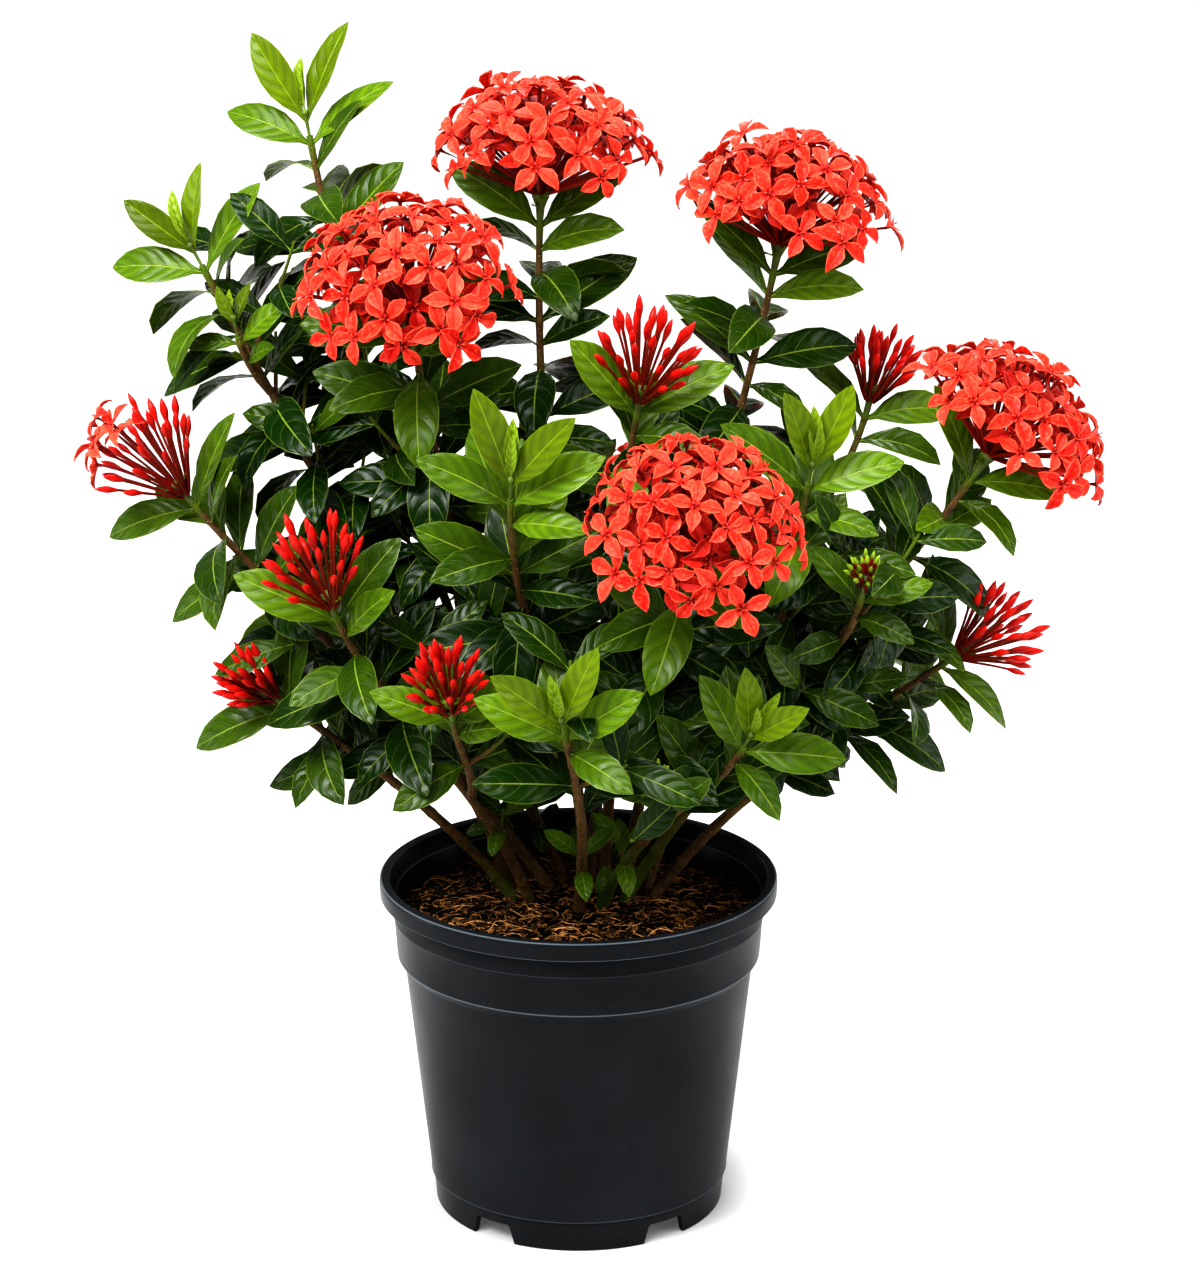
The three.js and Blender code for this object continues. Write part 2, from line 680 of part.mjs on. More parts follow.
// A floret: a thin tube that widens from the hub to the throat, and four pointed petals round it.
// Vertex 0 is the tube's root and vertex 1 the raised middle. Then come, for each petal, the
// notch before it, its left shoulder, its tip and its right shoulder.
function floretSolid(frame, radius, scale, spin) {
  const reach = (FLORET.span / 2) * scale;
  const halfWidth = FLORET.petalWidth / 2;
  const shoulderReach = Math.hypot(FLORET.widest * reach, halfWidth);
  const shoulder = Math.atan2(halfWidth, FLORET.widest * reach);
  const points = [[0, 0, -ROOT_DEPTH], [0, 0, radius + FLORET.heart]];
  for (let petal = 0; petal < 4; petal += 1) {
    const turn = spin + (petal * Math.PI) / 2;
    const corners = [
      [turn - Math.PI / 4, FLORET.notchReach, FLORET.notch],
      [turn - shoulder, shoulderReach, FLORET.shoulder],
      [turn, reach, FLORET.tip],
      [turn + shoulder, shoulderReach, FLORET.shoulder],
    ];
    for (const [angle, out, lift] of corners) {
      points.push([out * Math.cos(angle), out * Math.sin(angle), radius + lift]);
    }
  }
  const ring = (place) => 2 + (place % 16);
  const triangles = [];
  for (let place = 0; place < 16; place += 1) {
    triangles.push(1, ring(place), ring(place + 1));
  }
  for (let notch = 0; notch < 16; notch += 4) {
    const [from, left, tip, right, to] = [0, 1, 2, 3, 4].map((step) => ring(notch + step));
    triangles.push(from, to, right, from, right, left, left, right, tip, 0, to, from);
  }
  const geometry = new THREE.BufferGeometry();
  geometry.setAttribute('position', new THREE.Float32BufferAttribute(points.flat(), 3));
  geometry.setIndex(triangles);
  return solidOf(moveVertices(geometry, ({ x, y, z }) => inFrame(frame, x, y, z)));
}

// A closed bud on its thin tube
function budSolid(frame, radius, { budLength, budRadius, neckRadius }) {
  const profile = [
    [0, -ROOT_DEPTH],
    [neckRadius, radius - budLength],
    [budRadius, radius - BUD_WIDEST * budLength],
    [0, radius],
  ];
  return solidOf(moveVertices(turned(profile, 3), ({ x, y, z }) => inFrame(frame, x, y, z)));
}

function bloomSolid(shoot, scale) {
  const frame = headFrame(shoot);
  const florets = capDirections(BLOOM.florets, BLOOM.spread).map((direction) => {
    const spin = Math.PI * chance(shoot.number, direction.index, 21);
    const level = BLOOM.levelStep * ((direction.index % BLOOM.levels) - 1);
    return floretSolid(tiltedFrame(frame, direction), (BLOOM.radius + level) * scale, scale, spin);
  });
  return joined([hubSolid(frame, HUB_SCALE.bloom), ...florets]);
}

function budHeadSolid(shoot, scale, kind) {
  const frame = headFrame(shoot);
  const buds = capDirections(kind.buds, kind.spread).map((direction) => {
    const share = BUD_REACH.least + BUD_REACH.sway * chance(shoot.number, direction.index, 6);
    return budSolid(tiltedFrame(frame, direction), kind.radius * scale * share, kind);
  });
  return joined([hubSolid(frame, HUB_SCALE[shoot.bears[0]]), ...buds]);
}

// A fresh shoot: a pair of young leaves and an unopened spear on a short green stalk
function freshSolid(shoot, scale) {
  const frame = headFrame(shoot);
  const blades = YOUNG_LEAVES.map(({ quarter, length, fromStem, width, above }) => {
    const turn = (90 * quarter + YOUNG_SWAY.turn * swing(shoot.number, 9)) * DEGREE;
    const lean = (fromStem + YOUNG_SWAY.lean * swing(shoot.number, quarter, 7)) * DEGREE;
    const { axis } = tiltedFrame(frame, { turn, tilt: lean });
    const base = along(frame.middle, [frame.axis, above]);
    const up = upperFace(frame.axis, axis, outOfBush(base, axis));
    const size = length * scale * (1 + YOUNG_SWAY.length * swing(shoot.number, quarter, 8));
    return bladeSolid({ base, axis, up, length: size, arch: YOUNG_ARCH, width });
  });
  return joined([hubSolid(frame, HUB_SCALE.fresh), ...blades]);
}

const HEADS = {
  bloom: (shoot, scale) => bloomSolid(shoot, scale),
  buds: (shoot, scale) => budHeadSolid(shoot, scale, BUD_HEAD),
  green: (shoot, scale) => budHeadSolid(shoot, scale, GREEN_CLUSTER),
  fresh: (shoot, scale) => freshSolid(shoot, scale),
};

// ------------------------------------------------------------------------------------ assembly

function prepareShoots() {
  Object.entries(SHOOTS).forEach(([name, shoot], number) => {
    shoot.name = name;
    shoot.number = number + 1;
    shoot.size ??= 1;
    shoot.node ??= SHOOTS[shoot.parent].node;
    shoot.curve = curveOf(shoot);
    shoot.length = lengthOf(shoot);
  });
  return Object.values(SHOOTS);
}

const shoots = prepareShoots();
const ixora = new THREE.Group();
const pot = potSolid();
take(pot, 'pot');
ixora.add(meshOf('pot', pot, COLOUR.pot, 0.45));

const tubes = new Map(shoots.map((shoot) => [shoot, stemTube(shoot)]));
tubes.forEach((solid, shoot) => take(solid, shoot.name));

const rooted = shoots.filter((shoot) => !shoot.parent);
const soil = rooted.reduce((body, shoot) => body.subtract(stemHole(shoot)), soilSolid());
take(soil, 'soil');
ixora.add(meshOf('soil', soil, COLOUR.soil, 0.95));

for (const shoot of shoots) {
  const [kind, name, scale] = shoot.bears;
  const head = HEADS[kind](shoot, scale);
  take(head, name);
  ixora.add(meshOf(name, head, COLOUR[kind], 0.5));
}

for (const stem of rooted) {
  const own = shoots.filter((shoot) => shoot.node === stem.node);
  const pieces = own.flatMap((shoot) => [tubes.get(shoot), ...shootLeaves(shoot)]);
  ixora.add(meshOf(stem.node, joined(pieces), COLOUR.stem, 0.35));
}

// The origin is the bottom centre of the whole box
const box = new THREE.Box3().setFromObject(ixora);
const centre = box.getCenter(new THREE.Vector3());
ixora.position.set(-centre.x, -centre.y, 0);

export default ixora;
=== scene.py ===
"""A flowering ixora in its black nursery pot: leafy stems, flower heads, bud heads, soil and pot."""

import math
from types import SimpleNamespace as Sizes

import bpy
import numpy as np
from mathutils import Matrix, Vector, noise
from mathutils.kdtree import KDTree


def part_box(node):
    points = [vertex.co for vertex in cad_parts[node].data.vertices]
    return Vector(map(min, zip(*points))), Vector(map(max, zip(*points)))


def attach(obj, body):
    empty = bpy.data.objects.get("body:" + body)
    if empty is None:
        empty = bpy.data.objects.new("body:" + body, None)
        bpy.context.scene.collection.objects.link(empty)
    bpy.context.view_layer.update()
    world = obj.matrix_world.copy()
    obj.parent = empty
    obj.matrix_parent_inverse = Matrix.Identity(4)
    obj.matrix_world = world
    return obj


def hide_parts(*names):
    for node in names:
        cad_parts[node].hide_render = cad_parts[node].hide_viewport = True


bl_info = {
    "name": "Potted Ixora",
    "version": (1, 0, 0),
    "blender": (4, 5, 0),
    "location": "3D Viewport > Sidebar > Ixora",
    "description": "Builds a flowering ixora shrub in its nursery pot",
    "category": "Add Mesh",
}

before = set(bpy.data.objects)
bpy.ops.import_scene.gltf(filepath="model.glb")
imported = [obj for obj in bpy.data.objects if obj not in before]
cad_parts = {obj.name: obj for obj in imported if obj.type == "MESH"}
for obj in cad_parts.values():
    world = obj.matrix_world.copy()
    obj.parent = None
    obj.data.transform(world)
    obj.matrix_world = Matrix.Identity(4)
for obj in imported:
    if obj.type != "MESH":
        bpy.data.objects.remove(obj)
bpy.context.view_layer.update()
POT_LOW, POT_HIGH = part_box("pot")
POT_AXIS = np.array([(POT_LOW.x + POT_HIGH.x) / 2, (POT_LOW.y + POT_HIGH.y) / 2, 0.0])
MM = 0.001


def linear(*steps):
    """A colour in steps of 0 to 255, as the linear values that a shader mixes."""
    shares = [step / 255 for step in steps]
    return tuple(v / 12.92 if v <= 0.04045 else ((v + 0.055) / 1.055) ** 2.4 for v in shares)


# ------------------------------------------------------------------------------ how the plant grows
# Millimetres from the pot's axis and foot, as in the solids that the pieces replace.

POT = Sizes(
    height=191, wall=2.2, rim_radius=110, lip_height=10.5, lip_width=5.5, band_top_radius=103,
    band_foot_radius=100.5, band_foot_height=146, line_height=168.6, body_top_radius=96.5,
    body_top_height=141, body_foot_radius=83, seam_height=17.4, foot_radius=80.5, foot_width=4,
    floor_height=13, floor_thickness=2.5,
)
NOTCH = Sizes(count=5, first_from_front=36, width=28, top_width=22, height=11.5, middle=82)
DRAIN_HOLE = Sizes(radius=6, from_axis=66)
SOIL = Sizes(
    level=168, mound=2.5, mound_radius=100, clump_size=16, clump_height=1.3, swell_size=45,
    swell_height=1.2, settled=0.8, gap=0.4, widening=1.9, rings=34, sides=120, litter_radius=99.5,
    litter_edge=99.2,
)
# Curls of coir: their drawn length, bend, waves, rise and stoutness, and how they lie on the soil
COIR = Sizes(
    rod_length=10, lengths=(6, 20), bend=3.6, wave_height=1.1, waves=9, rises=(-0.1, 0.28),
    stoutness=(0.5, 1.1), margin=2.5, lift=0.3,
)
# Chips of bark: their drawn length, width and height, and how they lie on the soil
CHIP = Sizes(
    lengths=(2, 6.5), widths=(1.5, 4), heights=(0.6, 1.8), roughness=0.25, slope=0.5, margin=5,
    lift=0.5,
)
# The swellings of a stem sit at its leaf pairs, and at those below them that have lost their leaves
STEM = Sizes(
    base_radius=3.6, tip_radius=1.8, fork_radius=2.7, taper_power=0.7, buried=42, bare_pairs=8,
    swelling=0.16, swelling_length=2.4,
)
LEAF = Sizes(
    length=60, width_share=0.42, first_pair=5, first_size=0.94, arch=28, from_stem=43,
    from_stem_growth=4.5, from_stem_pairs=6, hang=24, hang_arch=46, spacing=27, lowest=234,
)
# The level that a leaf's tip keeps above: at the pot's axis, and its slopes to the front and sides
SKIRT = Sizes(height=250, to_front=0.3, to_sides=0.25)
# How far a leaf differs from the next, in degrees and as a share of its length
LEAF_SWAY = Sizes(turn=12, lean=8, arch=10, length=0.09)
# The leaves get smaller by this share a pair, below the first few
LEAF_AGEING = Sizes(after=4, share=0.05)
# How much a leaf's upper face turns to the sky, to the shoot's tip and out of the bush
LEAF_FACE = Sizes(sky=0.25, tip=0.5, outward=0.75)
# How a blade differs from the next: its fold in degrees, twist, ripples and sideways sway
BLADE = Sizes(
    fold=(6, 15), twist=0.3, ripple=(0.2, 1.0), waves=(1.2, 2.2), sides_apart=1.3, sway=0.05)
# The stalk of a leaf: the share of the midrib that it covers, which falls on longer leaves
PETIOLE = Sizes(length=10, share=0.13, full_leaf=40, sunk=0.45)
ROD_LENGTH = 1000  # of the straight rods that stems and twigs are bent from
# Where the bush turns from front to back, and how far sideways its way out leads
BUSH = Sizes(middle=84, core=8, backwards=0.5, sideways=0.3)
# Side twigs inside the bush, small sprouts low on the stems, and leaves between a shoot's pairs
TWIG = Sizes(
    first_number=40, spacing=19, leaf_size=0.84, company=2, company_within=64, chance=0.6,
    lowest=236, lowest_share=0.12, shortest=34, longest=66, radii=(1.5, 0.9), sway=35,
    leans=(0.55, 0.95), lift=0.12, leaf_sizes=(0.8, 1),
)
SPROUT = Sizes(
    first_number=90, lowest=190, highest=236, shares=(0.05, 0.3), chance=0.95, leaf_size=0.48,
    spacing=8, pairs=2, shortest=10, longest=24, radii=(1.2, 0.7), lean=0.6,
)
INNER_LEAF = Sizes(lowest_share=0.1, lift=8, sizes=(0.72, 0.9))
# How old a leaf looks, from 0 for a new one to 1, and how much older each pair below is
AGE = Sizes(first=0.25, below_young=0.1, inner=0.35, step=0.2, twig=0.7, twig_step=0.15, sprout=0.35)
# How green the feet of the youngest stems are
GREEN_FEET = {"left_low": 0.9, "front_right": 1.1, "right_outer": 1.0, "left_front": 0.7}
# How the green of the bark fades from such a foot, and grows along a shoot and at its tip
GREENING = Sizes(foot_fade=1.3, run=0.5, fork=0.3, tip=7, before_tip=6.05, twig_foot=0.5, twig=0.4)
# The ways that a leaf may lie: turn and lift in degrees, and its size
ATTEMPTS = [
    (0, 0, 1), (16, 0, 1), (-16, 0, 1), (0, 14, 1), (0, -14, 1), (30, 6, 0.95), (-30, 6, 0.95),
    (14, 20, 0.85), (-14, 20, 0.85), (8, -22, 0.75), (-8, 10, 0.62),
]
# Blades of a fresh shoot: quarter turn, length, degrees from the stem, width share, height on it
YOUNG_LEAVES = [(0, 52, 23, 0.36, -5), (2, 52, 23, 0.36, -5), (1, 30, 9, 0.26, 1), (3, 25, 12, 0.24, 1)]
YOUNG_ARCH = 22
YOUNG_SWAY = Sizes(turn=25, lean=7, length=0.1)
# The age of a fresh shoot's outer pair: the shoots that stand low, in half shade, get paler leaves as
# painted light
PAINTED_LIGHT_SHOOTS = ("centre_front", "front", "front_right", "right_young")
FRESH_AGE = Sizes(open=(0.3, 0.7), shaded=(0, 0.25), centre=-0.3)
YOUNG_FOLD = Sizes(outer=(14, 22), centre=(40, 50))
# The hub under a head: below its neck it keeps its size, above it follows the head's scale
HUB = Sizes(stalk=12, gap=0.35, neck=-8)
YOUNG_HUB = Sizes(width=0.42, height=0.4)
BRACT = Sizes(
    count=6, sway=0.3, tilts=(50, 85), lengths=(9, 14), apart=3, arch=-25, width_share=0.4)
BLOOM = Sizes(
    radius=58, spread=72, inner=0.84, inner_spread=60, inner_sunk=0.65, turn_sway=0.12,
    tilt_sway=0.04, stagger=2.4, scatter=2, late_buds=0.04, late_bud_sunk=4,
)
# How an open floret differs from the next, and how far below its mouth its throat becomes a tube
FLORET = Sizes(lean=0.36, curls=(-0.012, 0.02), sizes=(0.86, 1.12), throat=12)
BUD_HEAD = Sizes(radius=51, spread=54, foot=9, hub=0.85)
GREEN_CLUSTER = Sizes(radius=17, spread=75, foot=3, hub=0.6)
# How buds differ, how much shorter the outer ones are, and how their colour deepens to the foot as
# painted shade, with a painted highlight towards the tip
BUD_SWAY = Sizes(turn=0.15, tilt=0.05, reaches=(0.82, 1.04), sizes=(0.85, 1.08))
BUD_FALL = Sizes(middle=1.02, outside=0.24)
BUD_SHADE = Sizes(length=14, by_chance=0.4, to_tip=1.1, foot=0.4)
# Heights in the pattern of a floret or bud between which its tube stretches down to the hub
TUBE = Sizes(top=-20, root=-40, sunk=2)
# The first florets of this bud head open on one side of it
OPENING = Sizes(head="bud_head_left", towards=np.array([-0.8, -0.2, 0.56]), least=0.93)
GOLDEN_ANGLE = math.pi * (3 - math.sqrt(5))
# Seeds of the random draws. A shoot's own number is added to each but the litter's.
SEEDS = Sizes(litter=11, leaves=100, blooms=200, buds=300, young=400, inside=500)

# Each shoot: its name, where it grows from (a piece of its own, or a parent and the share of the
# parent's curve), its route, its leaf pairs, their size, what it bears, on which piece, and its scale
SHOOTS = [
    ("left_low", "stem_left_low", None, [(-36, 20), (-70, 4, 222), (-120, -14, 264), (-158, -27, 297)],
     6, 1, "buds", "bud_head_left_low", 0.66),
    ("left_front", "stem_left_front", None,
     [(-27, 13), (-48, -14, 245), (-108, -46, 300), (-127, -66, 358)],
     6, 1, "buds", "bud_head_left_front", 1),
    ("centre_left_front", "left_front", 0.34, [(-54, -50, 262), (-62, -92, 290), (-65, -107, 314)],
     3, 0.85, "buds", "bud_head_front", 0.8),
    ("left_outer", "stem_left_outer", None,
     [(-15, 31), (-75, 20, 262), (-154, 4, 336), (-206, -8, 404)],
     8, 1, "buds", "bud_head_left", 1.1),
    ("left_tall", "stem_left_tall", None,
     [(-25, 48), (-67, 36, 262), (-147, 26, 420), (-200, 20, 527)],
     9, 1, "fresh", "fresh_shoot_left", 1),
    ("left_tall_side", "left_tall", 0.8, [(-172, 14, 468), (-178, 6, 480), (-180, 2, 492)],
     1, 0.6, "fresh", "fresh_shoot_left_small", 0.5),
    ("top", "stem_top", None, [(-8, 46), (-60, 44, 290), (-118, 52, 440), (-144, 60, 590)],
     9, 1, "fresh", "fresh_shoot_top", 1.05),
    ("bloom_left", "top", 0.36, [(-64, 2, 375), (-80, -24, 455), (-85, -54, 506)],
     7, 1, "bloom", "bloom_left", 0.98),
    ("centre", "stem_centre", None, [(6, 31), (-8, 28, 300), (-24, 31, 430), (-20, 30, 550)],
     9, 1, "bloom", "bloom_top", 1.04),
    ("centre_front", "centre", 0.24, [(-16, -20, 310), (-36, -90, 370), (-34, -118, 434)],
     6, 1, "fresh", "fresh_shoot_centre", 1),
    ("front", "stem_front", None, [(0, -2), (4, -30, 225), (2, -112, 268), (-7, -146, 318)],
     4, 0.95, "fresh", "fresh_shoot_front", 0.95),
    ("centre_right", "stem_centre_right", None,
     [(14, 22), (20, 4, 270), (18, -20, 380), (31, -57, 466)],
     7, 1, "buds", "bud_head_centre", 1),
    ("bloom_front", "centre_right", 0.2, [(28, -40, 275), (52, -86, 350), (55, -122, 400)],
     5, 1, "bloom", "bloom_front", 0.95),
    ("front_right", "stem_front_right", None,
     [(12, 4), (34, -40, 240), (70, -88, 262), (85, -118, 302)],
     4, 0.95, "fresh", "fresh_shoot_right_front", 0.9),
    ("front_right_low", "front_right", 0.3, [(36, -52, 238), (40, -88, 252), (40, -104, 270)],
     2, 0.7, "green", "green_buds_front", 1),
    ("right_outer", "stem_right_outer", None,
     [(25, 12), (62, 4, 245), (160, -8, 340), (211, -14, 420)],
     8, 1, "bloom", "bloom_right", 0.97),
    ("right_young", "right_outer", 0.42, [(104, -10, 310), (114, -34, 370), (120, -58, 427)],
     5, 1, "fresh", "fresh_shoot_right", 1),
    ("right_green", "right_outer", 0.58, [(138, -34, 330), (144, -58, 345), (148, -68, 368)],
     2, 0.75, "green", "green_buds_right", 1),
    ("right_low", "stem_right_low", None, [(40, 15), (85, 10, 236), (140, 6, 268), (201, 1, 312)],
     8, 0.95, "buds", "bud_head_right_low", 0.9),
    ("right_tall", "stem_right_tall", None, [(26, 28), (40, 24, 290), (86, 30, 420), (105, 22, 525)],
     9, 1, "bloom", "bloom_right_top", 1),
    ("right_tall_side", "right_tall", 0.48, [(100, 40, 330), (145, 46, 390), (158, 50, 440)],
     5, 1, "buds", "bud_head_right", 0.75),
    ("back_left", "stem_back_left", None,
     [(-38, 36), (-60, 70, 236), (-118, 104, 268), (-146, 128, 305)],
     6, 1, "fresh", "fresh_shoot_back_left", 0.95),
    ("back_left_low", "back_left", 0.3, [(-62, 104, 236), (-62, 150, 236), (-62, 176, 252)],
     4, 0.9, "buds", "bud_head_back_left", 0.8),
    ("back", "stem_back", None, [(6, 48), (12, 80, 245), (34, 118, 290), (44, 142, 326)],
     5, 1, "bloom", "bloom_back", 1),
    ("back_tall", "back", 0.3, [(4, 92, 280), (-6, 104, 330), (-10, 108, 372)],
     6, 1, "fresh", "fresh_shoot_back_tall", 0.9),
    ("back_low", "back", 0.25, [(4, 104, 226), (-12, 150, 236), (-16, 176, 262)],
     4, 0.9, "fresh", "fresh_shoot_back", 0.9),
    ("back_right", "stem_back_right", None,
     [(38, 34), (60, 70, 240), (104, 106, 256), (124, 134, 280)],
     6, 1, "buds", "bud_head_back_right", 0.9),
    ("back_right_low", "back_right", 0.32, [(90, 66, 246), (140, 84, 262), (166, 92, 292)],
     4, 0.9, "fresh", "fresh_shoot_back_right", 0.8),
]

# What swing mixes its keys with, to scatter them
MIX = (12.9898, 78.233, 37.719, 4.581)
MIX_SCALE = 43758.5453
NUDGE = 0.0001  # share of a curve over which its direction is measured
FITTED = 0.05  # millimetres from a leaf's tip to the solid's corner, where the solid bears the leaf
RUN_SHARES = np.linspace(0.1, 1, 24)  # where along a shoot its neighbours look for it


def swing(*keys):
    """A number from -1 to 1 that is always the same for the same keys."""
    wave = math.sin(sum(key * mix for key, mix in zip(keys, MIX))) * MIX_SCALE
    return 2 * (wave - math.floor(wave)) - 1


def unit(vectors):
    return vectors / np.linalg.norm(vectors, axis=-1, keepdims=True)


def square_to(direction, axis):
    return unit(direction - axis * np.dot(direction, axis))


class Branch:
    """A branch along a cubic curve, with pairs of leaves counted down from its end."""

    def __init__(self, number, handles, radii, pairs, size, spacing):
        self.number, self.handles = number, handles
        self.pairs, self.size, self.spacing = pairs, size, spacing
        self.base_radius, self.tip_radius = radii
        self.length = sum(np.linalg.norm(b - a) for a, b in zip(handles, handles[1:]))

    def points(self, t):
        t = np.asarray(t, float)[..., None]
        a, b, c, d = self.handles
        return (1 - t) ** 3 * a + 3 * (1 - t) ** 2 * t * b + 3 * (1 - t) * t ** 2 * c + t ** 3 * d

    def frame(self, t):
        """The point, direction and two cross directions at the share t. Below the soil it is upright."""
        share = np.maximum(t, 0)
        before, after = np.maximum(share - NUDGE, 0), np.minimum(share + NUDGE, 1)
        axis = unit(self.points(after) - self.points(before))
        side = unit(np.cross(axis, (0.0, 1.0, 0.0)))
        front = unit(np.cross(side, axis))
        point = self.points(share)
        point[..., 2] += np.minimum(t, 0) * self.length
        return point, axis, side, front

    def radius(self, t):
        taper = np.clip(t, 0, 1) ** STEM.taper_power
        return self.base_radius + (self.tip_radius - self.base_radius) * taper

    def pair_share(self, pair):
        return 1 - (LEAF.first_pair + self.spacing * pair) / self.length


class Shoot(Branch):
    """A branch of the plant's own table, and what stands on its end."""

    def __init__(self, number, entry, earlier):
        self.name, origin, share, route, pairs, size, self.bears, self.head, self.scale = entry
        self.forked = share is not None
        if self.forked:
            parent = earlier[origin]
            self.stem = parent.stem
            start = parent.points(share)
        else:
            self.stem = origin
            start = np.array([*route[0], SOIL.level], float)
            route = route[1:]
        handles = [start, *(np.array(handle, float) for handle in route)]
        base_radius = STEM.fork_radius if self.forked else STEM.base_radius
        super().__init__(number, handles, (base_radius, STEM.tip_radius), pairs, size, LEAF.spacing)

    def head_frame(self):
        point, axis, side, front = self.frame(1.0)
        return Sizes(middle=point + axis * (HUB.stalk + HUB.gap), axis=axis, side=side, front=front)


def grow_shoots():
    shoots = {}
    for number, entry in enumerate(SHOOTS, start=1):
        shoots[entry[0]] = Shoot(number, entry, shoots)
    return list(shoots.values())


def out_of_bush(point, out):
    """The way out of the bush: forwards or backwards, and a little sideways."""
    to_back = point[1] > BUSH.middle or (point[1] > BUSH.core and out[1] > BUSH.backwards)
    depth = max(abs(point[1] - BUSH.middle), BUSH.middle - BUSH.core)
    return unit(np.array([BUSH.sideways * point[0], depth if to_back else -depth, 0.0]))


def upper_face(shoot_axis, axis, outward):
    up = np.array([0, 0, LEAF_FACE.sky]) + LEAF_FACE.tip * shoot_axis + LEAF_FACE.outward * outward
    return square_to(up, axis)


def leaf_place(shoot, pair, half, attempt):
    """Where a leaf grows and how it lies, for one of the ATTEMPTS."""
    turned_by, lift, size = attempt
    point, stem_axis, side, front = shoot.frame(shoot.pair_share(pair))
    keys = (shoot.number, pair, half)
    turn = math.radians(90 * pair + 180 * half + LEAF_SWAY.turn * swing(*keys, 1) + turned_by)
    out = side * math.cos(turn) + front * math.sin(turn)
    outward = out_of_bush(point, out)
    hanging = max(0, float(np.dot(out, outward)))
    grown = LEAF.from_stem_growth * min(pair, LEAF.from_stem_pairs)
    from_stem = LEAF.from_stem + grown + LEAF.hang * hanging
    lean = math.radians(from_stem + LEAF_SWAY.lean * swing(*keys, 2) - lift)
    axis = stem_axis * math.cos(lean) + out * math.sin(lean)
    ageing = 1 - LEAF_AGEING.share * max(0, pair - LEAF_AGEING.after) if pair else LEAF.first_size
    drawn = 1 + LEAF_SWAY.length * swing(*keys, 3)
    return Sizes(
        base=point, axis=axis, up=upper_face(stem_axis, axis, outward),
        length=LEAF.length * shoot.size * ageing * drawn * size,
        arch=LEAF.arch + LEAF.hang_arch * hanging + LEAF_SWAY.arch * swing(*keys, 4),
        width_share=LEAF.width_share,
    )


def blade_points(leaf, share, across, rise):
    """Points of a blade: a share along its arched midrib, across from it and above its face."""
    arch = math.radians(leaf.arch)
    bend = (arch * share)[:, None]
    normal = leaf.up * np.cos(bend) + leaf.axis * np.sin(bend)
    return (
        leaf.base + leaf.axis * leaf.length * np.sin(bend) / arch
        + leaf.up * leaf.length * (np.cos(bend) - 1) / arch
        + np.cross(leaf.axis, leaf.up) * across[:, None] + normal * rise[:, None]
    )


def tip_of(leaf):
    return blade_points(leaf, np.ones(1), np.zeros(1), np.zeros(1))[0]


def hangs_too_low(leaf):
    x, y, z = tip_of(leaf)
    return z < SKIRT.height - SKIRT.to_front * y - SKIRT.to_sides * abs(x)


def stem_tips(node):
    """A search tree of the solid's corners, in millimetres from the pot's axis."""
    corners = corners_of(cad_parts[node].data) / MM - POT_AXIS / MM
    tree = KDTree(len(corners))
    for index, corner in enumerate(corners):
        tree.insert(corner, index)
    tree.balance()
    return tree


def fitted_leaf(shoot, pair, half, tips):
    """The leaf as the solid stem bears it, or None where the solid has none there."""
    for attempt in ATTEMPTS:
        leaf = leaf_place(shoot, pair, half, attempt)
        if leaf.base[2] < LEAF.lowest:
            return None
        if tips.find(tip_of(leaf))[2] < FITTED:
            return leaf
    return None


class Neighbours:
    """Where the shoots run, so that a twig or an inner leaf can grow where there is bush round it."""

    def __init__(self, shoots):
        self.runs = {shoot.number: shoot.points(RUN_SHARES) for shoot in shoots}

    def near(self, point, own, reach):
        """How many other shoots pass within a distance of a point."""
        return sum(
            number != own and np.linalg.norm(run - point, axis=1).min() < reach
            for number, run in self.runs.items())


def bowed(start, heading, reach, end):
    """Handles of a short branch that sets out along a heading and ends at a point."""
    return [start, start + heading * reach * 0.3, start + heading * reach * 0.7, end]


def side_twigs(shoot, neighbours, rng):
    """Short leafy twigs from the axils of a shoot's leaves, inside the bush."""
    twigs = []
    for pair in range(1, shoot.pairs + 3):
        share = shoot.pair_share(pair)
        if share < TWIG.lowest_share:
            break
        start, axis, side, front = shoot.frame(share)
        for half in (0, 1):
            turn = math.radians(90 * pair + 180 * half + rng.uniform(-TWIG.sway, TWIG.sway))
            out = side * math.cos(turn) + front * math.sin(turn)
            reach = rng.uniform(TWIG.shortest, TWIG.longest)
            lean = rng.uniform(*TWIG.leans)
            heading = unit(axis * math.cos(lean) + out * math.sin(lean))
            end = start + heading * reach + np.array([0, 0, TWIG.lift * reach])
            company = neighbours.near(end, shoot.number, TWIG.company_within)
            if min(start[2], end[2]) < TWIG.lowest or company < TWIG.company:
                continue
            if rng.random() > TWIG.chance:
                continue
            number = TWIG.first_number + shoot.number + 3 * pair + half
            twigs.append(Branch(
                number, bowed(start, heading, reach, end), TWIG.radii, int(reach / TWIG.spacing),
                TWIG.leaf_size, TWIG.spacing))
    return twigs


def low_sprout(shoot, rng):
    """A small green shoot low on a stem, or None."""
    start, axis, side, front = shoot.frame(rng.uniform(*SPROUT.shares))
    turn = rng.uniform(0, 2 * math.pi)
    if shoot.forked or not SPROUT.lowest < start[2] < SPROUT.highest or rng.random() > SPROUT.chance:
        return None
    heading = unit(axis + SPROUT.lean * (side * math.cos(turn) + front * math.sin(turn)))
    reach = rng.uniform(SPROUT.shortest, SPROUT.longest)
    handles = bowed(start, heading, reach, start + heading * reach)
    return Branch(
        SPROUT.first_number + shoot.number, handles, SPROUT.radii, SPROUT.pairs, SPROUT.leaf_size,
        SPROUT.spacing)


